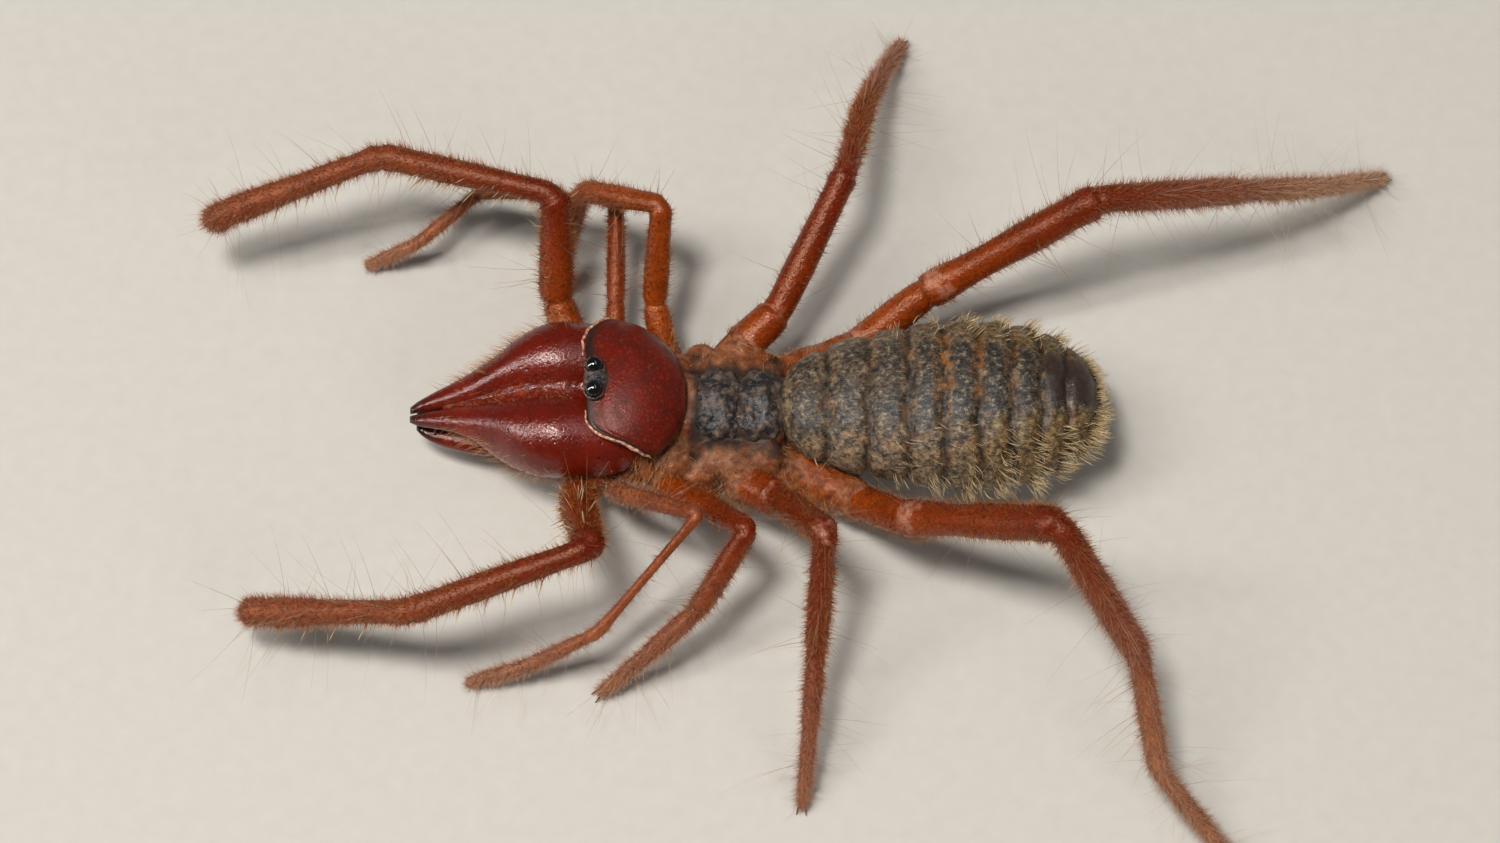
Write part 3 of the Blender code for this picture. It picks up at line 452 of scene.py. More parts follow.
def joined(name, pieces):
    pick(pieces[0])
    for piece in pieces:
        piece.select_set(True)
    bpy.ops.object.join()
    pieces[0].name = name
    return pieces[0]


def settle(piece, finish, slot, *nodes):
    """Turn a piece to metres, set it over the frame and hand it to the frame."""
    piece.data.transform(Matrix.Translation(FRAME_SHIFT) @ Matrix.Scale(MM, 4))
    piece.data.materials.clear()
    piece.data.materials.append(finish)
    piece.data.name = piece.name
    piece.data.shade_smooth()
    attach(piece, "root")
    if nodes:
        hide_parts(*nodes)


# Materials

def add(material, kind, inputs=(), out=0, **settings):
    """Add one node with its settings, set or link its inputs, and give its output."""
    tree = material.node_tree
    item = tree.nodes.new("ShaderNode" + kind)
    for name, value in settings.items():
        setattr(item, name, value)
    for name, value in inputs.items() if isinstance(inputs, dict) else enumerate(inputs):
        if isinstance(value, bpy.types.NodeSocket):
            tree.links.new(value, item.inputs[name])
        else:
            item.inputs[name].default_value = value
    return item.outputs[out]


def socket(material, name):
    """The shader's own input that a plain word such as base_color stands for."""
    title = name.replace("_", " ").title().replace("Ior", "IOR")
    return material.node_tree.nodes["Principled BSDF"].inputs[title]


def size(millimetres):
    """The scale of a pattern on Object coordinates whose cells are this wide."""
    return 1 / (millimetres * MM)


def surface(name, marks=(), grains=(), **even):
    """Start a material: give it, its coordinates, the values marked on its piece, and a
    cloudy grain for each row of cell width in mm, detail and roughness."""
    material = bpy.data.materials.new(name)
    material.use_nodes = True
    for key, value in even.items():
        socket(material, key).default_value = value
    place = add(material, "TexCoord", out="Object")
    values = [add(material, "Attribute", out="Fac", attribute_name=word) for word in marks]
    for width, detail, rough in grains:
        values.append(add(material, "TexNoise", {"Vector": place, "Scale": size(width),
                                                 "Detail": detail, "Roughness": rough}))
    return material, place, *values


def layered(material, colour, *layers):
    """A colour under thin layers, each with its share and its own colour. The share may be a
    pattern with the two values between which the layer comes in, and its full share."""
    for *share, code in layers:
        if len(share) == 4:
            pattern, low, high, full = share
            share = [add(material, "MapRange", (pattern, low, high, 0.0, full))]
        below = srgb(colour) if isinstance(colour, str) else colour
        colour = add(material, "Mix", {0: share[0], 6: below, 7: srgb(code)}, out=2,
                     data_type="RGBA")
    return colour


def complete(material, **patterns):
    """Link the patterns of a material to its shader."""
    for key, value in patterns.items():
        material.node_tree.links.new(value, socket(material, key))
    return material


def leg_cuticle():
    """Chitin of the limbs: thin, translucent and satin, orange where it is youngest, with
    moist blotches of soft skin at the joints."""
    # The real grain is about 0.02 mm, too fine to show, so it is drawn at 0.12 mm
    skin, _, deep, tan, bare, velvet, blotch, patch, grain = surface(
        "leg_chitin", ("deep", "tan", "membrane", "velvet"),
        ((1.2, 4.0, 0.6), (0.30, 5.0, 0.7), (0.12, 3.0, 0.6)), subsurface_weight=0.22,
        subsurface_radius=(1.0, 0.28, 0.10), subsurface_scale=0.0005, ior=1.5,
        specular_ior_level=0.5, specular_tint=srgb("#ffc9a8"))
    soft = add(skin, "Math", (bare, patch), operation="ADD")
    soft = add(skin, "MapRange", (soft, 0.80, 1.20, 0.0, 0.9))
    body = layered(skin, "#9a420c", (deep, "#641202"), (tan, "#b47c52"),
                   (blotch, 0.38, 0.64, 0.5, "#4e0e02"), (grain, 0.50, 0.66, 0.6, "#380a03"),
                   (soft, "#b47c64"))
    glossy = add(skin, "MapRange", (grain, 0.3, 0.7, 0.15, 0.30))
    dull = add(skin, "Mix", {0: velvet, 2: glossy, 3: 0.52})
    dull = add(skin, "Mix", {0: soft, 2: dull, 3: 0.14})
    relief = add(skin, "Bump", {"Height": grain, "Strength": 0.8, "Distance": 0.045 * MM})
    relief = add(skin, "Bump", {"Height": patch, "Strength": soft, "Distance": 0.12 * MM,
                                "Normal": relief})
    return complete(skin, base_color=body, roughness=dull, normal=relief)


def jaw_cuticle():
    """Thick, hard chitin of the jaws: glossy blood red, finely pitted and grained, so that
    its highlights break up into sparks. Orange low on its flanks is a painted glow of
    light through the thin chitin, and the dark in its pits is painted shade."""
    # Real pits are about 0.03 mm wide; drawn 0.34 mm apart, as fine as the render shows
    shell, place, glow, valley, dark, blotch, dust = surface(
        "jaw_chitin", ("glow", "valley", "dark"), ((0.9, 5.0, 0.62), (0.16, 3.0, 0.7)),
        subsurface_weight=0.15, subsurface_radius=(1.0, 0.22, 0.08), subsurface_scale=0.0006,
        ior=1.54, specular_tint=srgb("#ffdcd2"), coat_weight=0.3, coat_roughness=0.1)
    pits = add(shell, "TexVoronoi", {"Vector": place, "Scale": size(0.34)}, out="Distance")
    # The pit pattern sets the bump's dents and, in the colour, shade painted dark in them
    pit_and_shade = add(shell, "MapRange", (pits, 0.08, 0.20, 1.0, 0.0))
    spots = add(shell, "MapRange", (dust, 0.54, 0.66, 0.0, 0.9))
    spots = add(shell, "Math", (spots, valley), operation="MULTIPLY")
    # The glow layer is painted light: orange where light would shine through the thin lower chitin
    body = layered(shell, "#641304", (glow, "#a02d08"), (blotch, 0.38, 0.66, 0.5, "#440c04"),
                   (spots, "#983a12"), (pit_and_shade, "#2c0a06"), (dark, "#180605"))
    dull = add(shell, "MapRange", (dust, 0.3, 0.7, 0.12, 0.32))
    dull = add(shell, "Mix", {0: valley, 2: dull, 3: 0.6})
    sheen = add(shell, "MapRange", (valley, 0.0, 1.0, 0.4, 0.1))
    relief = add(shell, "Bump", {"Height": pit_and_shade, "Strength": 0.5, "Distance": 0.02 * MM},
                 invert=True)
    sparks = add(shell, "Bump", {"Height": dust, "Strength": 0.5, "Distance": 0.04 * MM,
                                 "Normal": relief})
    relief = add(shell, "Bump", {"Height": dust, "Strength": 0.7, "Distance": 0.045 * MM,
                                 "Normal": relief})
    return complete(shell, base_color=body, roughness=dull, specular_ior_level=sheen,
                    normal=relief, coat_normal=sparks)


def plate_cuticle():
    """Domed back plate: satin maroon chitin, mottled and dusty, with a paler rim."""
    # The dust of the real plate is too fine to show, so its grain is drawn at 0.11 mm
    shell, _, rim, band, blotch, grain = surface(
        "plate_chitin", ("rim", "band"), ((0.8, 6.0, 0.7), (0.11, 4.0, 0.65)),
        subsurface_weight=0.1, subsurface_radius=(1.0, 0.3, 0.15), subsurface_scale=0.0004,
        ior=1.5, specular_ior_level=0.45, specular_tint=srgb("#ffd4c8"))
    body = layered(shell, "#6a170a", (blotch, 0.36, 0.62, 0.8, "#3a0a04"),
                   (grain, 0.54, 0.70, 0.35, "#94503c"), (rim, "#8c3c1c"), (band, "#241d1b"))
    dull = add(shell, "MapRange", (blotch, 0.38, 0.62, 0.20, 0.50))
    relief = add(shell, "Bump", {"Height": grain, "Strength": 0.6, "Distance": 0.035 * MM})
    return complete(shell, base_color=body, roughness=dull, normal=relief)


def soft_skin():
    """Soft skin of the body and the leg roots: moist, wrinkled and translucent, tan and
    rosy in patches, orange towards the legs, sooty around the waist, with painted light
    paler on its wrinkles' ridges and painted shade dark in its folds and hollows."""
    skin, _, sooty, rosy, hollow, orange, blotch, fold = surface(
        "soft_skin", ("sooty", "rosy", "hollow", "orange"), ((0.8, 5.0, 0.65), (0.35, 6.0, 0.7)),
        subsurface_weight=0.3, subsurface_radius=(1.0, 0.35, 0.12), subsurface_scale=0.0006,
        ior=1.42, specular_tint=srgb("#ffd9c4"))
    # The fold pattern also raises the bump: its pale layer is painted light on the wrinkles' ridges
    # and its dark layer painted shade in their folds. The hollow layer is painted shade.
    body = layered(skin, "#744828", (blotch, 0.44, 0.58, 1.0, "#60240a"), (orange, "#863a0a"),
                   (rosy, "#8a5a3e"), (fold, 0.50, 0.68, 0.45, "#ae7e5a"),
                   (fold, 0.50, 0.34, 0.85, "#3c180a"), (hollow, "#180a06"), (sooty, "#2b2725"))
    dull = add(skin, "MapRange", (fold, 0.38, 0.62, 0.55, 0.10))
    dull = add(skin, "Mix", {0: hollow, 2: dull, 3: 0.7})
    relief = add(skin, "Bump", {"Height": fold, "Strength": 0.7, "Distance": 0.09 * MM})
    return complete(skin, base_color=body, roughness=dull, normal=relief)


def abdomen_skin():
    """Leathery grey-brown skin of the abdomen, its plates sooty and its folds ochre, with
    shade painted near black along the creases between its rings.
    """
    # Real wrinkles lie about 0.03 mm apart, too fine to show, so the streaks are 0.10 mm
    skin, place, plate, groove, edge, olive, cap, blotch, speck = surface(
        "abdomen_skin", ("plate", "groove", "edge", "olive", "cap"),
        ((0.55, 5.0, 0.7), (0.22, 5.0, 0.75)), ior=1.5, specular_ior_level=0.32)
    streaks = add(skin, "Mapping", {"Vector": place, "Scale": (0.3, 1.0, 1.0)})
    streaks = add(skin, "TexNoise", {"Vector": streaks, "Scale": size(0.10), "Detail": 4.0,
                                     "Roughness": 0.65})
    ochre = add(skin, "MapRange", (blotch, 0.48, 0.60, 0.0, 1.0))
    ochre = add(skin, "Math", (ochre, edge), operation="MULTIPLY")
    # The groove layer is painted shade: near black along the creases between the rings
    body = layered(skin, "#685848", (blotch, 0.44, 0.60, 0.8, "#957655"), (olive, "#6a532c"),
                   (plate, "#38342f"), (speck, 0.51, 0.58, 0.8, "#171412"),
                   (speck, 0.46, 0.38, 0.55, "#b09a78"), (streaks, 0.52, 0.62, 0.7, "#1b1715"),
                   (groove, "#0c0a09"), (ochre, "#b06a2c"), (cap, "#33261f"))
    dull = add(skin, "MapRange", (streaks, 0.40, 0.60, 0.20, 0.55))
    dull = add(skin, "Mix", {0: cap, 2: dull, 3: 0.28})
    relief = add(skin, "Bump", {"Height": speck, "Strength": 0.7, "Distance": 0.05 * MM})
    relief = add(skin, "Bump", {"Height": streaks, "Strength": 0.8, "Distance": 0.03 * MM,
                                "Normal": relief})
    return complete(skin, base_color=body, roughness=dull, normal=relief)


def waist_cuticle():
    """Sooty plates of the waist and the eyes' mound, creased and mottled, with wet glints."""
    shell, place, blotch = surface("waist_chitin", (), ((0.40, 6.0, 0.7),), ior=1.5,
                                   specular_ior_level=0.5)
    crease = add(shell, "TexNoise", {"Vector": place, "Scale": size(0.20), "Detail": 5.0,
                                     "Roughness": 0.6, "Distortion": 0.4})
    body = layered(shell, "#1f1d1e", (blotch, 0.44, 0.60, 1.0, "#54453a"),
                   (crease, 0.58, 0.66, 0.7, "#7c583e"))
    dull = add(shell, "MapRange", (crease, 0.40, 0.60, 0.20, 0.55))
    relief = add(shell, "Bump", {"Height": crease, "Strength": 0.8, "Distance": 0.10 * MM})
    return complete(shell, base_color=body, roughness=dull, normal=relief)


def eye_lens():
    """Wet black lens of an eye."""
    lens, _, haze = surface("eye_lens", (), ((0.3, 2.0, 0.5),), base_color=srgb("#050404"),
                            ior=1.45, coat_weight=1.0, coat_roughness=0.02)
    return complete(lens, roughness=add(lens, "MapRange", (haze, 0.0, 1.0, 0.04, 0.09)))


def plate_seam():
    """Dry cream-coloured skin of the seam between the head's plate and the jaws."""
    skin, _, grain = surface("seam_skin", (), ((0.12, 3.0, 0.5),), roughness=0.5, ior=1.45)
    return complete(skin, base_color=layered(skin, "#8a4c36", (grain, 0.40, 0.60, 1.0, "#d3a88c")))


def claw_horn():
    """Dark horn of the claws, mottled with a paler tone."""
    horn, _, grain = surface("claw_horn", (), ((0.2, 2.0, 0.5),), roughness=0.3, ior=1.54)
    return complete(horn, base_color=layered(horn, "#3a170c", (grain, "#6a3216")))


def bristle(name, root, tip, roughness, shine=0.5):
    """Hollow chitin bristle: dark at its root, paler and clearer towards its tip, and tan
    where the skin under it is."""
    hair, _, along, shade, pale = surface(
        name, ("along", "shade", "pale"), roughness=roughness, specular_ior_level=shine,
        ior=1.5, subsurface_weight=0.3, subsurface_radius=(1.0, 0.6, 0.3),
        subsurface_scale=0.0003)
    shade = add(hair, "Math", (shade, 0.6), operation="MULTIPLY")
    pale = add(hair, "Math", (pale, 0.7), operation="MULTIPLY")
    return complete(hair, base_color=layered(hair, root, (along, 0.0, 0.6, 1.0, tip),
                                             (shade, root), (pale, "#dcb088")))


def floor_card():
    """Matt pale card under the model."""
    card, _, grain = surface("matt_card", (), ((0.6, 3.0, 0.5),), roughness=0.9)
    return complete(card, base_color=layered(card, "#bdb6ab", (grain, "#c6c0b6")))


# Limbs

def limb_joints(limb, side):
    """Joint points of one limb, from the inner end of its coxa to its tip."""
    base, inner, _, segments = LIMBS[limb]
    joints = [Vector(inner), Vector(base)]
    for (length, *_), (heading, rise) in zip(segments, POSE[(limb, side)]):
        ahead, up = math.radians(heading), math.radians(rise)
        step = Vector((-math.cos(up) * math.cos(ahead), math.cos(up) * math.sin(ahead),
                       math.sin(up)))
        joints.append(joints[-1] + step * length)
    if limb != "palp":
        knee, foot = joints[-2], segments[-1][0]
        flat = joints[-1] - knee
        flat.z = 0.0
        drop = knee.z - FOOT_Z
        joints[-1] = (knee + flat.normalized() * math.sqrt(foot ** 2 - drop ** 2)
                      - Vector((0, 0, drop)))
    return [joint * Vector((1, SIDES[side], 1)) for joint in joints]


def rounded_path(joints, rooms, spacing=0.2, steps=8):
    """Points of a path through joints, rounded there, and each joint's way along it."""
    points = [joints[0]]
    marks = [0]

    def go_on(point):
        for left in range(max(round((point - points[-1]).length / spacing), 1), 0, -1):
            points.append(points[-1].lerp(point, 1.0 / left))

    for before, joint, after, room in zip(joints, joints[1:], joints[2:], rooms):
        into, out = joint - before, after - joint
        reach = min(room, into.length * 0.45, out.length * 0.45)
        first, last = joint - into.normalized() * reach, joint + out.normalized() * reach
        go_on(first)
        marks.append(len(points) + steps // 2 - 1)
        for index in range(1, steps + 1):
            share = index / steps
            points.append(first.lerp(joint, share).lerp(joint.lerp(last, share), share))
    go_on(joints[-1])
    spots = np.array(points)
    gaps = np.linalg.norm(np.diff(spots, axis=0), axis=1)
    keep = np.concatenate([[True], gaps > 1e-4])
    lengths = np.concatenate([[0.0], np.cumsum(gaps)])
    return spots[keep], lengths[keep], lengths[marks + [-1]]


def of_side(table, limb, side):
    """The row of one limb, for both sides alike unless this side has its own."""
    return table.get((limb, side)) or table[limb]


def limb_radii(limb, marks, ends):
    """Rows of way and radius along a limb, full in its segments and slim at its joints."""
    rows = [(marks[0], ends[0][0] * 0.5)]
    for index, (name, (near, far)) in enumerate(zip(("coxa", *SEGMENTS), ends)):
        if index:
            before = ends[index - 1][1]
            slim = 0.98 if (limb, name) == ("palp", "tarsus") else JOINT_WAIST
            rows.append((marks[index], (before + near) / 2 * slim))
            rows.append((marks[index] - 0.16, before * 0.99))
            rows.append((marks[index] + 0.16, near * 0.96))
        length = marks[index + 1] - marks[index]
        for share, full in zip(FULL_AT, FULLNESS.get(f"{limb} {name}", FULLNESS[name])):
            if share * length > 0.3 and (1 - share) * length > 0.3:
                rows.append((marks[index] + share * length, (near + (far - near) * share) * full))
    rows.append((marks[-1], ends[-1][1] * 0.85))
    return sorted(rows)


def make_limb(limb, side):
    """Skin of one limb from its coxa to its tip, with its joints and membranes."""
    _, _, (_, coxa_end), segments = LIMBS[limb]
    joints = limb_joints(limb, side)
    inner = joints[1] + (joints[0] - joints[1]).normalized() * coxa_end * INNER_END
    ends = [(coxa_end * INNER_END, segments[0][1])]
    ends += [(near, far) for _, near, far in segments]
    rooms = [max(near, before) * 1.05 for (_, before), (near, _) in zip(ends, ends[1:])]
    points, lengths, marks = rounded_path([inner] + joints[1:], rooms)
    tip = lengths[-1]
    ways = set(np.arange(0.0, tip, 0.14)) | set(tip - np.array((0.30, 0.22, 0.14, 0.08, 0.03, 0)))
    for way in marks[1:-1]:
        ways |= set(way + np.array((-0.20, -0.12, -0.06, 0.0, 0.06, 0.12, 0.20)))
    ways = sorted(way for way in ways if 0 <= way <= tip)
    ways = np.array([way for way, after in zip(ways, ways[1:] + [math.inf]) if after - way > 0.015])
    rows = limb_radii(limb, marks, ends)
    radii = np.array([smooth_value(rows, 1, way) for way in ways]) - SKIN_DEPTH
    bare = np.zeros(len(ways))
    for joint, share, strength, width in BARE[limb]:
        soft = bump_at(ways, marks[joint] + share * (marks[joint + 1] - marks[joint]), width)
        bare = np.maximum(bare, strength * soft)
        # A wide ring swells a little, a narrow one is drawn in
        radii *= 1 + soft * (0.07 if width > 0.2 else -0.03)
    radii *= np.maximum(np.sqrt(1 - (1 - ramp(tip - ways, 0.3)) ** 2), 0.08)
    piece = drawn(f"{limb}_{side}_skin", round_rows(zip(ways, radii)), 28)
    along = vertices(piece)[:, 0]
    for name, table in (("deep", DEEP), ("tan", TAN), ("velvet", DENSE)):
        values = np.interp(along, marks, of_side(table, limb, side))
        mark(piece, **{name: np.clip(values, 0, 1)})
    bend_along(piece, points)
    spots = vertices(piece)
    spots[:, 2] = np.maximum(spots[:, 2], 0.004)
    move_vertices(piece, spots)
    x, y, z = spots.T
    above = np.clip(0.55 + 0.6 * vertices(piece, "normal")[:, 2], 0.2, 1)
    wander = 0.13 * np.sin(9 * x + 5 * z) + 0.10 * np.sin(13 * y)
    mark(piece, membrane=np.interp(along + wander, ways, bare) * above)
    own = SEGMENTS if limb in OWN_TROCHANTER else SEGMENTS[1:]
    return piece, points, lengths, marks, [f"{limb}_{side}_{name}" for name in own]


# Body

def ring_station(rings, x):
    """Station of the body at x, for drawn()."""
    half, top, bottom = ring_at(rings, x)
    return (x, 0.0, (top + bottom) / 2, half, (top - bottom) / 2)


def hollows(piece, rounds, depth):
    """How deep each vertex lies below its smoothed surroundings, up to 1 at this depth."""
    pairs = fetched(piece.data.edges, "vertices", 2, int)
    ends = np.concatenate([pairs, pairs[:, ::-1]])
    spots = vertices(piece)
    count = np.bincount(ends[:, 0], minlength=len(spots))
    smooth = spots.copy()
    for _ in range(rounds):
        for axis in range(3):
            total = np.bincount(ends[:, 0], smooth[ends[:, 1], axis], len(spots))
            smooth[:, axis] = (smooth[:, axis] + total / np.maximum(count, 1)) / 2
    return ramp(((smooth - spots) * vertices(piece, "normal")).sum(axis=1), depth)


def make_coxa(limb, side):
    """Root of one limb, rounded off at both ends."""
    root, base = limb_joints(limb, side)[:2]
    wide, narrow = LIMBS[limb][2]
    reach = (base - root).length
    shape = ((-0.5 * wide, 0.4), (-0.3 * wide, 0.8), (0.0, 1.0), (0.3 * reach, 1.0),
             (0.6 * reach, 1.02), (0.85 * reach, 1.08), (reach, 1.10),
             (reach + 0.35 * narrow, 1.04), (reach + 0.65 * narrow, 0.84),
             (reach + 0.85 * narrow, 0.5))
    widths = [(way + wide, (wide + (narrow - wide) * ramp(way, reach)) * share)
              for way, share in shape]
    away = (base - root).normalized()
    return tube("coxa", widths, [root - away * wide, root, base, base + away * wide], 20)


def make_trunk():
    """Soft body with its ten leg roots and the beak, melted into one skin."""
    xs = np.linspace(BODY_RINGS[0][0], BODY_RINGS[-1][0], 24)
    parts = [drawn("trunk", [ring_station(BODY_RINGS, x) for x in xs], 32)]
    parts += [make_coxa(limb, side) for limb in LIMBS for side in SIDES]
    for x, y, z, *half in FLESH:
        for out in (-1.0, 0.8):
            parts.append(start("uv_sphere", segments=24, ring_count=12, radius=1.0,
                               location=(x, y * out, z), scale=half))
    parts.append(tube("beak", BEAK_WIDTHS, BEAK_LINE, 16))
    trunk = joined("trunk_skin", parts)
    apply(trunk, "REMESH", mode="VOXEL", voxel_size=MELT)
    apply(trunk, "SMOOTH", factor=0.5, iterations=8)
    folded(trunk, 1.0, 0.34, 0.55, 1)
    folded(trunk, 0.40, 0.07, 0.55, 1)
    spots = vertices(trunk)
    x, y, z = spots.T
    out = np.abs(y)
    # Painted shade: dark spots at the hollows between the leg roots; only the colour marks them
    shade_spots = np.zeros(len(spots))
    for at_x, at_y in SHADED_HOLLOWS:
        away = np.hypot(x - at_x, out - at_y) * (1 + 0.3 * np.sin(x * 9) * np.cos(y * 11))
        shade_spots += np.exp(-(away / 0.27) ** 3) * (z > 1.8)
    ragged = np.where(y > 0, 1.8, 2.0) + 0.12 * np.sin(x * 7.1) + 0.10 * np.sin(x * 13.0 + 1)
    collar = bump_at(x, -2.15, 0.20) * bump_at(y, 0.35, 0.6)
    rosy = bump_at(out, 2.0, 0.7) * bump_at(x, -1.4, 1.6) * ramp(z - 2.4, 0.8) * 0.7 + collar
    for limb, strength in (("leg_2", 0.4), ("leg_3", 0.8), ("leg_4", 0.9)):
        for side, share in (("right", 0.3), ("left", 1)):
            away = np.linalg.norm(spots - np.array(limb_joints(limb, side)[1]), axis=1)
            rosy += strength * share * bump_at(away, 0.60, 0.26)
    sooty = ramp(x + 2.25, 0.2) * ramp(ragged - out, 0.5) * ramp(z - 2.9, 0.4)
    outer = np.maximum(np.where(y > 0, y - 1.4, -y - 2.1), x - 1.4)
    # The hollow mark is painted shade: darker where the skin lies below its smoothed surroundings,
    # and at the shaded spots
    mark(trunk, sooty=sooty * 0.93 * (1 - collar), rosy=np.clip(rosy, 0, 1),
         orange=np.clip(outer / 0.8, 0, 0.9),
         hollow=np.maximum(hollows(trunk, 14, 0.08), np.clip(shade_spots, 0, 1) * 0.9) * (out > 1.0))
    return trunk


def in_segment(x):
    """Share of the way along its segment of the abdomen."""
    index = np.clip(np.searchsorted(ABDOMEN_EDGES, x) - 1, 0, len(ABDOMEN_EDGES) - 2)
    return (x - ABDOMEN_EDGES[index]) / (ABDOMEN_EDGES[index + 1] - ABDOMEN_EDGES[index])


def above_middle(x, z):
    """Height above the abdomen's middle line."""
    return z - np.array([ring_station(ABDOMEN_RINGS, way)[2] for way in x])


def make_abdomen():
    """Skin of the abdomen: ringed by its creases, with a raised plate on each ring."""
    xs = np.linspace(*ABDOMEN_ENDS, 96)
    piece = drawn("abdomen_skin", [ring_station(ABDOMEN_RINGS, x) for x in xs], 96)
    spots = vertices(piece)
    x, y, z = spots.T
    share, high = in_segment(x), above_middle(x, z)
    wavy = x + 0.07 * np.sin(y * 3.1 + x * 0.8) + 0.05 * np.sin(y * 7.3)
    gap = np.abs(wavy[:, None] - np.array(CREASES_X)).min(axis=1)
    upper = np.arctan2(high, np.abs(y)) > 0.2
    half = np.interp(x, (2, 6, 9, 12), (1.45, 1.75, 1.35, 0.75))
    on_top = under(np.abs(y), half, 0.06) * upper
    plate = on_top * under(-share, -0.18, 0.03) * under(share, 0.86, 0.03)
    out = np.stack([np.zeros_like(x), y, high], axis=1)
    out /= np.maximum(np.linalg.norm(out, axis=1), 0.05)[:, None]
    lift = 0.10 * np.sin(np.pi * np.clip(share, 0, 1)) - 0.17 * bump_at(gap, 0, 0.12) + 0.04 * plate
    ochre = (bump_at(x, 6.6, 0.6) + 0.5 * bump_at(x, 8.1, 0.3)) * bump_at(y, 0.7, 1.6)
    cap = under(np.abs(y - CAP_Y), 0.85, 0.05) * upper
    move_vertices(piece, spots + out * lift[:, None])
    folded(piece, 0.28, 0.10)
    # The groove mark paints shade along the creases between the rings
    mark(piece, plate=plate * np.interp(x, (4.5, 7), (0.7, 0.95)),
         groove=bump_at(gap, 0, 0.15) * 0.9, cap=cap * np.clip((x - 10.42) / 0.08, 0, 0.95),
         edge=bump_at(gap, 0.16, 0.20) * np.clip(ochre, 0.12, 0.85),
         olive=ramp(x - 6.5, 3.0) * (1 - on_top) * 0.85)
    return piece


def jaw_part(name, rings, side, stations, sides):
    """Closed body between the jaw's inner side and these rings."""
    rows = []
    for x in np.linspace(rings[-1][0], rings[0][0], stations):
        outer, top, bottom = ring_at(rings, x)
        rows.append((x, SIDES[side] * (outer + JAW_INNER_Y) / 2, (top + bottom) / 2,
                     (outer - JAW_INNER_Y) / 2, (top - bottom) / 2))
    return drawn(name, rows, sides)


def teeth_on(piece, rings, teeth, side, out):
    """Cones on the upper edge of a jaw's finger, or on the lower one with out = -1."""
    cones = []
    for x, y, length in teeth:
        edge = smooth_value(rings, 2 if out > 0 else 3, x) - 0.08 * out
        cones.append(start("cone", vertices=14, radius1=0.15, radius2=0.02, depth=length + 0.1,
                           location=(x, SIDES[side] * y, edge + out * length / 2),
                           rotation=(0 if out > 0 else math.pi, 0, 0)))
    return joined(piece.name, [piece] + cones)


def in_valley(x, y):
    """How far into the valley between the jaws a place lies."""
    return bump_at(y, 0, np.interp(x, VALLEY_X, VALLEY_TINT)) * ramp(-x - 5.8, 1.5)


def make_jaw(side):
    """Hand and fixed finger of one jaw, with its teeth."""
    piece = jaw_part(f"chelicera_{side}_shell", JAW_RINGS, side, 84, 56)
    spots = vertices(piece)
    x, _, z = spots.T
    _, top, bottom = rings_at(JAW_RINGS, x)
    crest = bump_at((z - bottom) / (top - bottom), 1, 0.25) * ramp(-x - 6.5, 2.0)
    spots[:, 2] += 0.05 * crest
    move_vertices(piece, spots)
    piece = teeth_on(piece, JAW_RINGS, UPPER_TEETH, side, -1)
    x, y, z = vertices(piece).T
    # The glow mark paints light glowing through the thin chitin low on the jaw's flanks
    mark(piece, glow=0.75 * ramp(3.9 - z, 1.1) * (x > -10.5),
         valley=in_valley(x, y) * (z > 2.6), dark=ramp(-x - 11.3, 1.0))
    return piece


def make_finger(side):
    """Movable finger of one jaw, hinged under the hand, with its teeth."""
    piece = jaw_part(f"cheliceral_finger_{side}_shell", FINGER_RINGS, side, 32, 32)
    piece = teeth_on(piece, FINGER_RINGS, LOWER_TEETH, side, 1)
    mark(piece, glow=0, valley=0, dark=ramp(-vertices(piece)[:, 0] - 10.9, 1.0))
    return piece


def sheet(name, long, wide):
    """Flat grid, with the way of each vertex along it (0 to 1) and across it (-1 to 1)."""
    piece = start("grid", x_subdivisions=long, y_subdivisions=wide, size=1)
    piece.name = name
    spots = vertices(piece)
    return piece, spots[:, 0] + 0.5, spots[:, 1] * 2


def make_jaw_seam():
    """Orange skin that lines the valley between the two jaws."""
    piece, along, across = sheet("jaw_seam", 100, 20)
    x = np.interp(along, (0, 1), (-11.0, -5.4))
    half = np.interp(x, VALLEY_X, VALLEY_SKIN)
    outer, top, bottom = rings_at(JAW_RINGS, x)
    middle, width = (outer + JAW_INNER_Y) / 2, (outer - JAW_INNER_Y) / 2
    jaw_top = (top + bottom) / 2 + (top - bottom) / 2 * np.sqrt(1 - ((half - middle) / width) ** 2)
    depth = 0.6 * half * (1 - across ** 2) + 0.01
    move_vertices(piece, np.stack([x, across * half, jaw_top - depth], axis=1))
    folded(piece, 0.25, 0.10, 0.6)
    apply(piece, "SOLIDIFY", thickness=0.15, offset=-1.0)
    x, y, _ = vertices(piece).T
    mark(piece, glow=0, valley=in_valley(x, y), dark=0)
    return piece


def on_arch(rings, x, share):
    """Places on an arched plate at x, at this share of the way to its side."""
    half, top, rim = rings_at(rings, x)
    turn = share * math.pi / 2
    return np.stack([x, np.sin(turn) * half, rim + (top - rim) * np.cos(turn)], axis=1)


def plate_front(shares):
    """Where the head plate's front edge is, at these shares of the way to its side."""
    return np.array([smooth_value(PLATE_EDGE[1 if share > 0 else -1], 1, abs(share))
                     for share in shares])


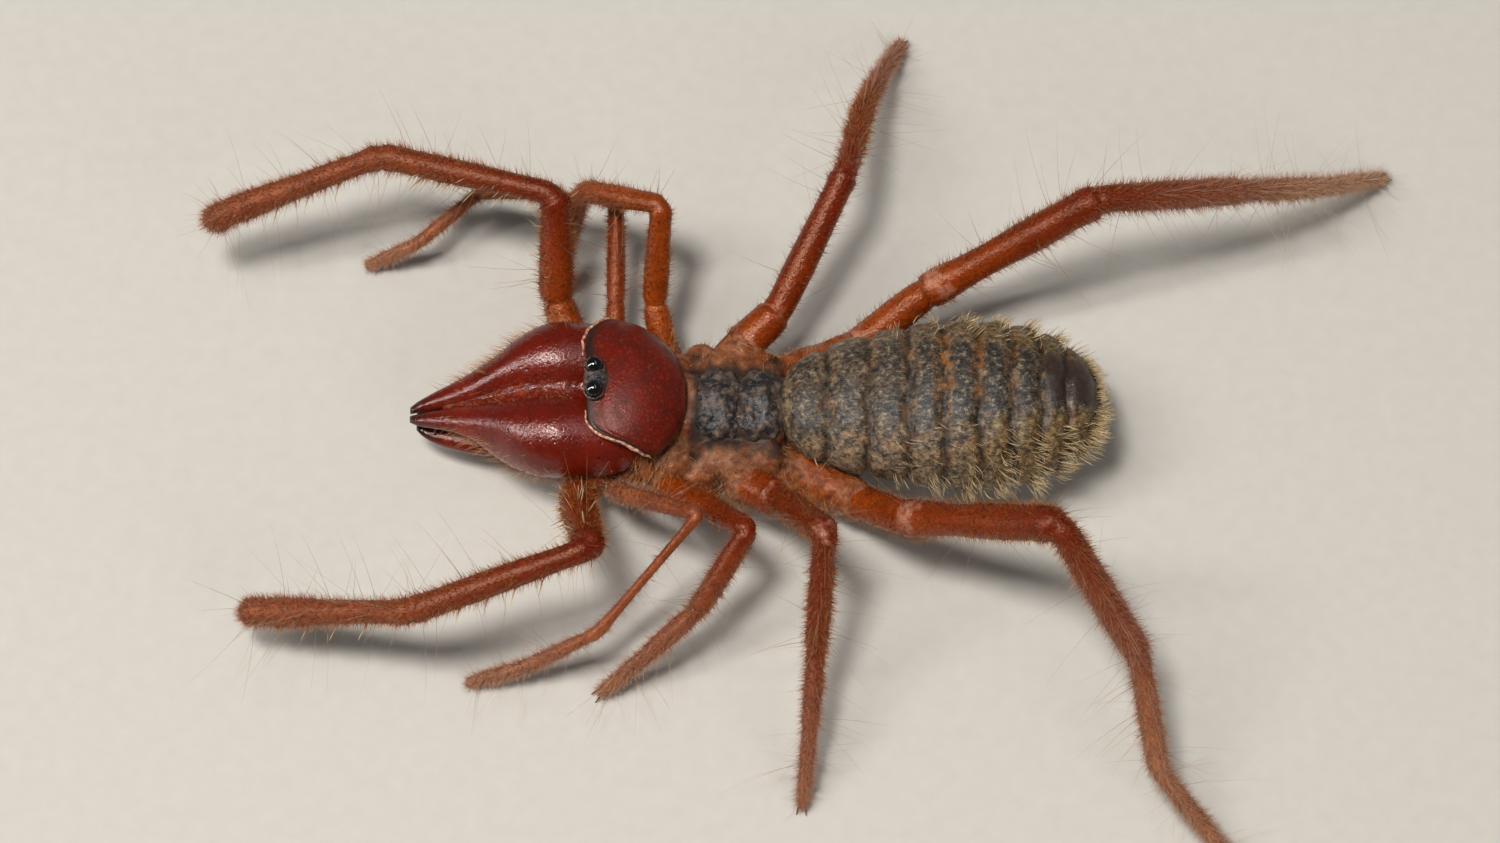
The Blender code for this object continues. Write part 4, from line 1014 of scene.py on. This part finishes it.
def make_head_plate():
    """Domed plate over the head with its dark front band."""
    piece, along, across = sheet("propeltidium_shell", 71, 71)
    front = plate_front(across)
    spots = on_arch(PLATE_RINGS, front + (PLATE_RINGS[-1][0] - front) * along, across)
    spots[:, 2] += 0.05 * bump_at(along, 0.03, 0.03) - 0.03 * bump_at(along, 0.13, 0.03)
    move_vertices(piece, spots)
    out = np.abs(across)
    width = np.interp(out, (0, 0.5, 0.62, 1.0), (0.075, 0.085, 0.06, 0.03))
    mark(piece, band=0.95 * under(along, width, 0.012),
         rim=ramp(out - 0.88, 0.12) * 0.8 * ramp(along, 0.5) + ramp(along - 0.965, 0.03) * 0.6)
    apply(piece, "SOLIDIFY", thickness=0.22, offset=-1.0)
    return piece


def make_plate_line():
    """Pale seam of soft skin along the front edge of the head's plate."""
    made = []
    for sign, ahead, lift in ((-1, 0.05, -0.05), (1, 0.10, 0.04)):
        share = sign * np.linspace(0.98, 0.25, 26)
        x = plate_front(share) + 0.025 * np.sin(share * 41) - ahead
        path = [Vector(spot) for spot in on_arch(PLATE_RINGS, x, share) + (0, 0, lift)]
        widths = [(way * length_of(path), width) for way, width in LINE_WIDTHS]
        made.append(tube("line", widths, path, 12, 40))
    return joined("plate_front_line", made)


def make_waist_plate(name):
    """Small sooty plate of the waist, sinking into the soft skin at both ends."""
    piece, along, across = sheet(name + "_shell", 29, 47)
    rings = WAIST_PLATES[name]
    spots = on_arch(rings, rings[0][0] + (rings[-1][0] - rings[0][0]) * along, across)
    middle, ends = np.cos(across * math.pi / 2), along * 2 - 1
    x, y, z = spots.T       # views, so what follows changes the spots themselves
    ridges = np.sin(along * math.pi * 4 + y * 1.2) * 0.045
    z += (ridges + np.sin(y * 5.2 + along * 3) * 0.04) * middle
    z -= 0.20 * np.abs(ends) ** 3 * middle + 0.30 * np.abs(across) ** 3
    y *= 1 - 0.18 * ends ** 4 + 0.05 * np.sin(x * 9.0)
    x += 0.07 * np.sin(y * 4.3) * ends
    move_vertices(piece, spots)
    folded(piece, 0.26, 0.16)
    apply(piece, "SOLIDIFY", thickness=0.16, offset=-1.0)
    return piece


def make_eye(side):
    """Domed lens of one eye."""
    piece = start("uv_sphere", segments=48, ring_count=24, radius=EYE_RADIUS,
                  location=(EYE_X - EYE_FORWARD, SIDES[side] * EYE_Y, EYE_Z))
    piece.name = f"eye_{side}_lens"
    return piece


def make_mound():
    """Dark mound between and behind the eyes, with a collar round each."""
    piece = start("uv_sphere", segments=64, ring_count=32, radius=1.0)
    move_vertices(piece, vertices(piece) * (0.47, 0.82, 0.46) + (EYE_X - 0.02, 0, EYE_Z - 0.30))
    collars = [start("torus", major_radius=EYE_RADIUS * 0.98, minor_radius=0.05,
                     major_segments=48, minor_segments=12,
                     location=(EYE_X - EYE_FORWARD, sign * EYE_Y, EYE_Z - 0.08))
               for sign in SIDES.values()]
    return joined("eye_mound", [piece] + collars)


def make_rackets():
    """Fans on stalks under the hind legs, ten in all and all alike."""
    made = []
    down = Vector((0, 0, -1))
    for side in SIDES:
        joints = limb_joints("leg_4", side)
        for index, share in RACKETS:
            near, far = joints[index:index + 2]
            across = (far - near).cross(-down).normalized()
            turn = Matrix((down, down.cross(across), across)).transposed().to_4x4()
            fan = drawn("racket", subdivided(RACKET_STATIONS, 14), 16)
            fan.data.transform(Matrix.Translation(near.lerp(far, share) + down * 0.55) @ turn)
            made.append(fan)
    return joined("rackets", made)


def make_claws():
    """Two hooked claws on the foot of each walking leg."""
    made = []
    for limb in ("leg_2", "leg_3", "leg_4"):
        for side in SIDES:
            heel, tip = limb_joints(limb, side)[-2:]
            ahead = (tip - heel).normalized()
            across = ahead.cross(Vector((0, 0, 1))).normalized()
            for hand in (1, -1):
                begin = tip - ahead * 0.14 + across * hand * 0.07
                path = [begin + ahead * far + across * hand * out + Vector((0, 0, high))
                        for far, out, high in CLAW_LINE]
                path = [Vector((p.x, p.y, max(p.z, 0.05))) for p in path]
                made.append(tube("hook", ((0, 0.05), (length_of(path), 0.012)), path, 10, 12))
    return joined("claws", made)


# Hair. Real fuzz is about 0.005 mm thick, too fine to show, so it is drawn thicker and
# thinner in number.

def ordered_triangles(mesh, spots):
    """A mesh's triangles in the order of their places, because the order in which the edit
    operators leave faces changes from run to run."""
    loops = fetched(mesh.loops, "vertex_index", 1, int)
    starts = fetched(mesh.polygons, "loop_start", 1, int)
    counts = fetched(mesh.polygons, "loop_total", 1, int)
    rank = np.empty(len(spots), int)
    rank[np.lexsort(np.round(spots, 5).T)] = np.arange(len(spots))
    lowest = np.minimum.reduceat(rank[loops], starts)
    first = np.flatnonzero(rank[loops] == np.repeat(lowest, counts)) - starts
    face = np.repeat(np.arange(len(starts)), counts - 2)
    step = np.arange(len(face)) - np.repeat(np.cumsum(counts - 2) - (counts - 2), counts - 2)
    corners = np.stack([loops[starts[face] + (first[face] + turn) % counts[face]]
                        for turn in (0, step + 1, step + 2)], axis=1)
    return corners[np.lexsort(rank[corners].T)]


def scatter(piece, count, draw, weight):
    """Seeded points on a piece with their normals, denser where weight is larger."""
    spots, normals = vertices(piece), vertices(piece, "normal")
    corners = ordered_triangles(piece.data, spots)
    a, b, c = (spots[corners[:, i]] for i in range(3))
    area = np.linalg.norm(np.cross(b - a, c - a), axis=1) / 2 * weight((a + b + c) / 3)
    chosen = corners[draw.choice(len(corners), count, p=area / area.sum())]
    r1, r2 = np.sqrt(draw.random(count)), draw.random(count)
    shares = np.stack([1 - r1, r1 * (1 - r2), r1 * r2], axis=1)
    points, facing = ((values[chosen] * shares[:, :, None]).sum(axis=1)
                      for values in (spots, normals))
    return points, facing / np.linalg.norm(facing, axis=1)[:, None]


def unit(vectors):
    return vectors / np.maximum(np.linalg.norm(vectors, axis=-1, keepdims=True), 1e-9)


def hair_paths(roots, normals, lies, lengths, stand, bend, draw, knots, stray=0.15):
    """Middle lines of hairs that leave the skin at stand and bend over to the lie."""
    lies = unit(lies - normals * (lies * normals).sum(axis=1, keepdims=True))
    aim = unit(normals * stand + lies * (1 - stand) + draw.normal(0, stray, roots.shape))
    lines = [roots - normals * 0.03]
    here = roots
    steps = knots - 1
    for index in range(steps):
        turn = unit(aim + lies * bend * (index + 1) / steps)
        here = here + turn * (lengths / steps)[:, None]
        lines.append(here)
    return np.stack(lines, axis=1)


def hair_mesh(name, lines, radii, places, draw):
    """One joined mesh of tapered three-sided hairs along their middle lines."""
    hairs, knots, _ = lines.shape
    rings = knots - 1
    ahead = unit(lines[:, -1] - lines[:, 0])
    side = unit(np.cross(ahead, draw.normal(size=(hairs, 3))))
    other = np.cross(ahead, side)
    turns = np.arange(3) * 2 * math.pi / 3
    thin = 1 - 0.55 * np.arange(rings) / max(rings - 1, 1)
    around = (side[:, None] * np.cos(turns)[None, :, None]
              + other[:, None] * np.sin(turns)[None, :, None])
    ring_spots = (lines[:, :rings, None] + around[:, None]
                  * (radii[:, None] * thin)[:, :, None, None])
    spots = np.concatenate([ring_spots.reshape(hairs, -1, 3), lines[:, -1:]], axis=1)
    each = rings * 3 + 1
    # The faces of one hair with their places on its patch: its sides, its tip and its root
    faces, flats = [], []
    for ring in range(rings):
        for j in range(3):
            low, beside = ring * 3 + j, ring * 3 + (j + 1) % 3
            if ring < rings - 1:
                faces.append((low, beside, beside + 3, low + 3))
                flats += [(j, ring), (j + 1, ring), (j + 1, ring + 1), (j, ring + 1)]
            else:
                faces.append((low, beside, each - 1))
                flats += [(j, ring), (j + 1, ring), (j + 0.5, rings)]
    faces.append((2, 1, 0))
    flats += [(0, 0), (3, 0), (1.5, 0.4)]
    flat = (np.array(flats) / (3, rings) - 0.5) * BAKE_PATCH
    loops = np.concatenate(faces)
    starts = np.cumsum([0] + [len(face) for face in faces[:-1]])
    hair = np.arange(hairs)[:, None]
    mesh = bpy.data.meshes.new(name)
    mesh.vertices.add(hairs * each)
    mesh.vertices.foreach_set("co", spots.ravel())
    mesh.loops.add(hairs * len(loops))
    mesh.loops.foreach_set("vertex_index", (loops + hair * each).ravel())
    mesh.polygons.add(hairs * len(faces))
    mesh.polygons.foreach_set("loop_start", (starts + hair * len(loops)).ravel())
    mesh.update(calc_edges=True)
    places = np.clip(places, 0.004, 0.996)
    layer = mesh.uv_layers.new(name="OFBake")
    layer.data.foreach_set("uv", (places[:, None] + flat[None]).ravel())
    piece = placed(name, mesh)
    share = np.append(np.repeat(np.arange(rings) / rings, 3), 1.0)
    mark(piece, along=np.tile(share, hairs), shade=np.repeat(draw.random(hairs), each))
    return piece


def outside(lines):
    """Which hairs leave the model's box."""
    low, high = HAIR_BOX
    return ((lines < low) | (lines > high)).any(axis=(1, 2))


def gather(lines, clumps, pull, draw):
    """Draw hairs together at their tips around a few of them."""
    centres = draw.choice(len(lines), clumps, replace=False)
    roots = lines[:, 0]
    near = np.empty(len(lines), int)
    for begin in range(0, len(lines), 2000):
        gap = ((roots[begin:begin + 2000, None] - roots[centres][None]) ** 2).sum(axis=2)
        near[begin:begin + 2000] = centres[gap.argmin(axis=1)]
    share = (np.arange(lines.shape[1]) / (lines.shape[1] - 1)) ** 1.5 * pull
    return lines + (lines[near] - lines) * share[None, :, None]


def coat(name, roots, normals, lies, lengths, radii, places, finish, slot, draw,
         clumps=0, pull=0.0, pale=None, **shape):
    """Grow hairs on roots, shorten or leave out those that would leave the box, and hand
    them over as one piece."""
    lines = hair_paths(roots, normals, lies, lengths, draw=draw, **shape)
    if clumps:
        lines = gather(lines, clumps, pull, draw)
    for _ in range(8):
        out = outside(lines)
        root = lines[out][:, :1]
        lines[out] = root + (lines[out] - root) * 0.75
    kept = ~outside(lines)
    piece = hair_mesh(name, lines[kept], radii[kept], places[kept], draw)
    if pale is not None:
        mark(piece, pale=np.repeat(pale[kept], len(piece.data.vertices) // kept.sum()))
    settle(piece, finish, slot)


def abdomen_coat(piece, fine, gold):
    """Bristles of the abdomen: fine and flat on its back, golden tufts on its flanks."""
    draw = np.random.default_rng(ABDOMEN_SEED)
    first, last = ABDOMEN_ENDS

    def turn_of(spots):
        return np.arctan2(above_middle(spots[:, 0], spots[:, 2]), spots[:, 1])

    def places_of(roots):
        return np.stack([(roots[:, 0] - first) / (last - first),
                         turn_of(roots) / (2 * math.pi) + 0.5], axis=1)

    def on_back(spots):
        x, y, z = spots.T
        bare_cap = (x > 10.3) * (np.abs(y - CAP_Y) < 0.95)
        row = 0.2 + 0.8 * bump_at(in_segment(x), 0.75, 0.2)
        return row * (z > 2.6) * (1 - 0.93 * bare_cap)

    def on_flank(spots):
        x, _, z = spots.T
        turn = turn_of(spots)
        side = np.clip(np.abs(np.cos(turn)) - 0.62, 0, 1)
        rear = np.clip((x - 3.8) / 5.0, 0.04, 1) ** 1.3
        row = 0.06 + bump_at(in_segment(x), 0.72, 0.15)
        low = np.clip(1 + np.sin(turn) * 1.3, 0.1, 1)
        return side * rear * row * low + 0.3 * (np.clip(x - 11.2, 0, 1) * (z < 4.2))

    count = BACK_BRISTLES
    roots, normals = scatter(piece, count, draw, on_back)
    lies = np.tile((1.0, 0.0, 0.0), (count, 1)) + draw.normal(0, 0.12, (count, 3))
    coat("abdomen_fine_bristles", roots, normals, lies, draw.uniform(0.08, 0.20, count),
         draw.uniform(0.006, 0.010, count), places_of(roots), fine, "abdomen", draw,
         stand=0.36, bend=0.3, knots=3)

    count = FLANK_TUFTS
    roots, normals = scatter(piece, count, draw, on_flank)
    side = np.abs(np.cos(turn_of(roots)))
    lengths = 0.30 + 0.50 * side * (0.35 + 0.65 * ramp(roots[:, 0] - 3.0, 8.0))
    lengths *= draw.uniform(0.6, 1.35, count) * np.where(roots[:, 1] > 0, 0.7, 1.0)
    lies = np.tile((0.9, 0.0, -0.1), (count, 1)) + draw.normal(0, 0.22, (count, 3))
    coat("abdomen_golden_tufts", roots, normals, lies, lengths,
         draw.uniform(0.012, 0.022, count), places_of(roots), gold, "abdomen", draw,
         clumps=TUFT_CLUMPS, pull=0.62, stand=0.8, bend=0.2, knots=4, stray=0.2)


def limb_coat(limb, side, piece, points, lengths, marks, fuzz, seta, stiff):
    """Fuzz, long fine setae and a few stiff bristles of one limb."""
    draw = np.random.default_rng(LIMB_SEED + list(LIMBS).index(limb) * 2 + (side == "left"))
    tangents = unit(np.gradient(points, axis=0))

    def nearest(spots):
        return ((spots[:, None] - points[None]) ** 2).sum(axis=2).argmin(axis=1)

    def places_of(spots, index):
        away = spots - points[index]
        up = unit(np.array((0, 0, 1.0)) - tangents[index] * tangents[index][:, 2:3])
        beside = np.cross(tangents[index], up)
        turn = np.arctan2((away * beside).sum(axis=1), (away * up).sum(axis=1))
        return np.stack([lengths[index] / lengths[-1], turn / (2 * math.pi) + 0.5], axis=1)

    def everywhere(spots):
        return np.interp(lengths[nearest(spots)], marks, of_side(DENSE, limb, side))

    def past_root(spots):
        return everywhere(spots) * (lengths[nearest(spots)] > marks[2])

    def inner_edge(spots):
        index = nearest(spots)
        facing = np.clip((points[index] - spots) @ (0.8, 0.5 * SIDES[side], 0), 0.02, 1)
        return facing * (lengths[index] > marks[1] + 1.5) * (lengths[index] < marks[4] - 1)

    def grow(kind, count, reach, radii, finish, where, flat=1.0, **shape):
        roots, normals = scatter(piece, count, draw, where)
        index = nearest(roots)
        aims = normals * (1, 1, flat)
        aims[:, 2] = np.where(normals[:, 2] < 0, normals[:, 2] * 0.6, aims[:, 2])
        pale = np.interp(lengths[index], marks, of_side(TAN, limb, side))
        coat(f"{limb}_{side}_{kind}", roots, unit(aims), tangents[index], reach, radii,
             places_of(roots, index), finish, "leg", draw, pale=pale, **shape)

    _, _, _, segments = LIMBS[limb]
    thick = segments[SEGMENTS.index("femur")][1] / 0.6      # beside a palp
    room = 0.4 + 0.6 * thick
    count = int(lengths[-1] * FUZZ_PER_MM * room)
    long_hair = draw.random(count) < 0.5
    reach = np.where(long_hair, draw.uniform(0.16, 0.38, count), draw.uniform(0.09, 0.17, count))
    grow("fuzz", count, reach * (0.7 + 0.4 * thick), draw.uniform(0.008, 0.013, count), fuzz,
         everywhere, stand=np.where(long_hair, 0.76, 0.42)[:, None], bend=0.25, knots=3,
         stray=0.2)
    count = int(lengths[-1] * SETAE_PER_MM * room)
    grow("setae", count, draw.uniform(0.7, 2.9, count) ** 1.2 * (0.3 + 0.6 * thick),
         draw.uniform(0.006, 0.010, count), seta, past_root, flat=0.45, stand=0.85, bend=0.2,
         knots=5, stray=0.12)
    if limb == "palp":
        count = PALP_BRISTLES
        grow("bristles", count, draw.uniform(0.45, 0.85, count),
             draw.uniform(0.016, 0.026, count), stiff, inner_edge, stand=0.8, bend=0.1, knots=4)
    for (owner, name), (pairs, length) in SPINES.items():
        if owner == limb:
            lines = spine_lines(limb, side, name, pairs, length)
            places = places_of(lines[:, 0], nearest(lines[:, 0]))
            spines = hair_mesh(f"{limb}_{side}_{name}_spines", lines,
                               np.full(len(lines), SPINE_RADIUS), places, draw)
            settle(spines, stiff, "leg")


def spine_lines(limb, side, name, pairs, length):
    """Middle lines of the pairs of stiff spines under one segment of a limb."""
    index = SEGMENTS.index(name)
    begin, end = limb_joints(limb, side)[index + 1:index + 3]
    _, near, far = LIMBS[limb][3][index]
    along = (end - begin).normalized()
    down = Vector((0, 0, -1))
    down = (down - along * down.dot(along)).normalized()
    sideways = along.cross(down)
    lines = []
    for pair in range(pairs):
        share = SPINE_START + SPINE_REACH * (pair + 0.5) / pairs
        centre = begin.lerp(end, share)
        radius = near + (far - near) * share
        for hand in (1, -1):
            out = down * math.cos(SPINE_TURN) + sideways * hand * math.sin(SPINE_TURN)
            reach = out * 0.8 + along * SPINE_LEAN
            lines.append([centre + out * radius * 0.8 + reach * length * way + along * 0.12
                          * length * way * (1 - way) for way in (0, 0.3, 0.6, 0.85, 1)])
    return np.array(lines)


def head_coats(jaws, seam, trunk, fine, gold):
    """Short golden hairs of the jaws' flanks and valley, and of the leg roots."""
    draw = np.random.default_rng(HEAD_SEED)

    def grow(name, piece, count, where, lie, reach, radii, spread, slot, finish=fine,
             wander=0, **shape):
        """The lie is that of the right side. Each row of spread is an axis with the shift and
        the width that bring it onto the map."""
        roots, normals = scatter(piece, count, draw, where)
        if piece is seam:
            # A thin sheet: the hairs of its underside point up too
            normals *= np.sign(normals[:, 2:] + 1e-6)
        lies = np.tile(lie, (count, 1))
        lies[:, 1] *= np.sign(roots[:, 1])
        if wander:
            lies += draw.normal(0, wander, (count, 3))
        places = np.stack([(roots[:, axis] + shift) / width for axis, shift, width in spread],
                          axis=1)
        coat(name, roots, normals, lies, draw.uniform(*reach, count),
             draw.uniform(*radii, count), places, finish, slot, draw, **shape)

    for side, jaw in jaws.items():
        sign = SIDES[side]

        def outer(spots):
            x, y, z = spots.T
            low = bump_at(z, 3.3 + 0.3 * sign, 0.7)
            return (x > -11.2) * (x < -6.3) * low * np.clip(y * sign - 0.3, 0.02, 1)
        grow(f"jaw_{side}_hairs", jaw, JAW_HAIRS[side], outer, (-1.0, 0.35, 0.1), (0.25, 0.75),
             (0.008, 0.013), ((0, 12.5, 9), (2, 0, 6)), "jaw", stand=0.6, bend=0.3, knots=4)

    def upper(spots):
        return (spots[:, 0] < -6.2) * np.clip(1 - np.abs(spots[:, 1]) * 1.6, 0.05, 1)
    grow("jaw_brush", seam, VALLEY_HAIRS, upper, (-1.0, 0.0, 0.3), (0.08, 0.20),
         (0.007, 0.012), ((0, 12.5, 9), (1, 0.5, 1)), "jaw", stand=0.4, bend=0.3, knots=3)

    def cheek(spots):
        away = np.abs(spots * (1, 0, 1) - (-3.4, 0, 3.2)).max(axis=1)
        return (away < 0.7) * (np.abs(spots[:, 1]) > 1.7) + 1e-6
    over_body = ((0, 8, 14), (1, 5, 10))
    grow("cheek_brush", trunk, CHEEK_HAIRS, cheek, (-0.6, 1.0, -0.4), (0.3, 0.75),
         (0.009, 0.014), over_body, "flesh", stand=0.5, bend=0.4, knots=4)

    def roots_of_legs(spots):
        return (spots[:, 2] > 1.2) * np.clip(np.abs(spots[:, 1]) - 1.3, 0.02, 1)
    for name, count, reach, finish in (("short", SHORT_ROOT_HAIRS, (0.08, 0.26), fine),
                                       ("long", LONG_ROOT_HAIRS, (0.25, 0.6), gold)):
        grow(f"leg_root_{name}_hairs", trunk, count, roots_of_legs, (0.3, 1.0, 0.0), reach,
             (0.008, 0.013), over_body, "flesh", finish, 0.3, stand=0.6, bend=0.3, knots=3)


# Scene

def make_camera():
    data = bpy.data.cameras.new("camera")
    data.lens, data.sensor_width = CAMERA_LENS, SENSOR_WIDTH
    data.clip_start, data.clip_end = 0.001, 10.0
    camera = placed("camera", data)
    toward = Vector((0, -math.cos(CAMERA_RISE), math.sin(CAMERA_RISE)))
    target = Vector(CAMERA_TARGET) * MM + FRAME_SHIFT
    camera.location = target + toward * CAMERA_DISTANCE * MM
    camera.rotation_euler = (math.pi / 2 - CAMERA_RISE, 0, 0)
    bpy.context.scene.camera = camera


def make_light(name, place, width, height, watts, diffuse=True, shine=True, tint=WHITE):
    data = bpy.data.lights.new(name, "AREA")
    data.shape = "ELLIPSE"
    data.size, data.size_y = width * MM, height * MM
    data.energy = watts
    data.color = tint
    light = placed(name, data)
    light.location = Vector(place) * MM
    light.rotation_euler = (-light.location).to_track_quat("-Z", "Y").to_euler()
    light.visible_diffuse, light.visible_glossy = diffuse, shine


def make_stage():
    floor = start("plane", size=3.0)
    floor.name = "floor"
    floor.data.materials.append(floor_card())
    make_light("key", (-50, -45, 260), 50, 50, 0.54)
    make_light("strip", (-140, -28, 235), 20, 190, 0.30)
    make_light("front", (-240, -54, 135), 26, 200, 0.36, diffuse=False)
    make_light("top", (85, 30, 262), 230, 50, 0.09, diffuse=False, tint=(0.85, 0.93, 1.0))
    make_light("fill", (200, -260, 200), 220, 220, 0.30, shine=False)
    world = bpy.data.worlds.new("studio")
    world.use_nodes = True
    sky = world.node_tree.nodes["Background"].inputs
    sky["Color"].default_value, sky["Strength"].default_value = (0.95, 0.97, 1.0, 1), 0.10
    bpy.context.scene.world = world
    bpy.context.scene.view_settings.view_transform = "Standard"


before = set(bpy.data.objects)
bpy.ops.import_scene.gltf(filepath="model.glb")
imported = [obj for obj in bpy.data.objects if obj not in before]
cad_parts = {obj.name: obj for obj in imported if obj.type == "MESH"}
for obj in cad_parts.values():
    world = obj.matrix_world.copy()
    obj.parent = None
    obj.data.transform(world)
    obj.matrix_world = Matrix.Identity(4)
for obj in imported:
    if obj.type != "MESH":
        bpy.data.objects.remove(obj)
CAD_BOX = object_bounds()
EYES = [sum(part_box(f"eye_{side}"), Vector()) / 2 for side in SIDES]
FRAME_SHIFT = (EYES[0] + EYES[1]) / 2 - Vector((EYE_X, 0, EYE_Z)) * MM
BOX_LOW, BOX_HIGH = (np.array(corner) for corner in CAD_BOX)
SPARE = (BOX_HIGH - BOX_LOW) * HAIR_SPARE
HAIR_BOX = [(corner - np.array(FRAME_SHIFT)) / MM
            for corner in (BOX_LOW - SPARE, BOX_HIGH + SPARE)]
HAIR_BOX[0][2] = 0.03       # and above the floor

make_camera()
make_stage()

leg = leg_cuticle()
jaw = jaw_cuticle()
skin_fuzz = bristle("fine_fuzz", "#641808", "#c6541e", 0.5, 0.2)
seta = bristle("long_setae", "#7a4628", "#bd9470", 0.4)
gold = bristle("golden_bristles", "#4e2c0c", "#ffd898", 0.25)
flat_hair = bristle("flat_hair", "#33281c", "#a88a60", 0.4)
orange_hair = bristle("orange_hair", "#7a2a0c", "#ee9c50", 0.35)
stiff = bristle("stiff_bristles", "#8a3c18", "#f0d8a4", 0.3)

for limb in LIMBS:
    for side in SIDES:
        skin, points, lengths, marks, nodes = make_limb(limb, side)
        limb_coat(limb, side, skin, points, lengths, marks, skin_fuzz, seta, stiff)
        settle(skin, leg, "leg", *nodes)
settle(make_claws(), claw_horn(), "foot")
settle(make_rackets(), leg, "leg")

trunk = make_trunk()
seam = make_jaw_seam()
jaws = {side: make_jaw(side) for side in SIDES}
head_coats(jaws, seam, trunk, orange_hair, gold)
settle(trunk, soft_skin(), "flesh", "prosoma")
settle(seam, jaw, "jaw")
for side in SIDES:
    settle(jaws[side], jaw, "jaw", f"chelicera_{side}")
    settle(make_finger(side), jaw, "jaw", f"cheliceral_finger_{side}")

abdomen = make_abdomen()
abdomen_coat(abdomen, flat_hair, gold)
settle(abdomen, abdomen_skin(), "abdomen", "abdomen")

settle(make_head_plate(), plate_cuticle(), "head_plate", "propeltidium")
settle(make_plate_line(), plate_seam(), "head_plate")
waist = waist_cuticle()
for name in WAIST_PLATES:
    settle(make_waist_plate(name), waist, "waist_plate", name)
settle(make_mound(), waist, "head_plate")
lens = eye_lens()
for side in SIDES:
    settle(make_eye(side), lens, "eye", f"eye_{side}")
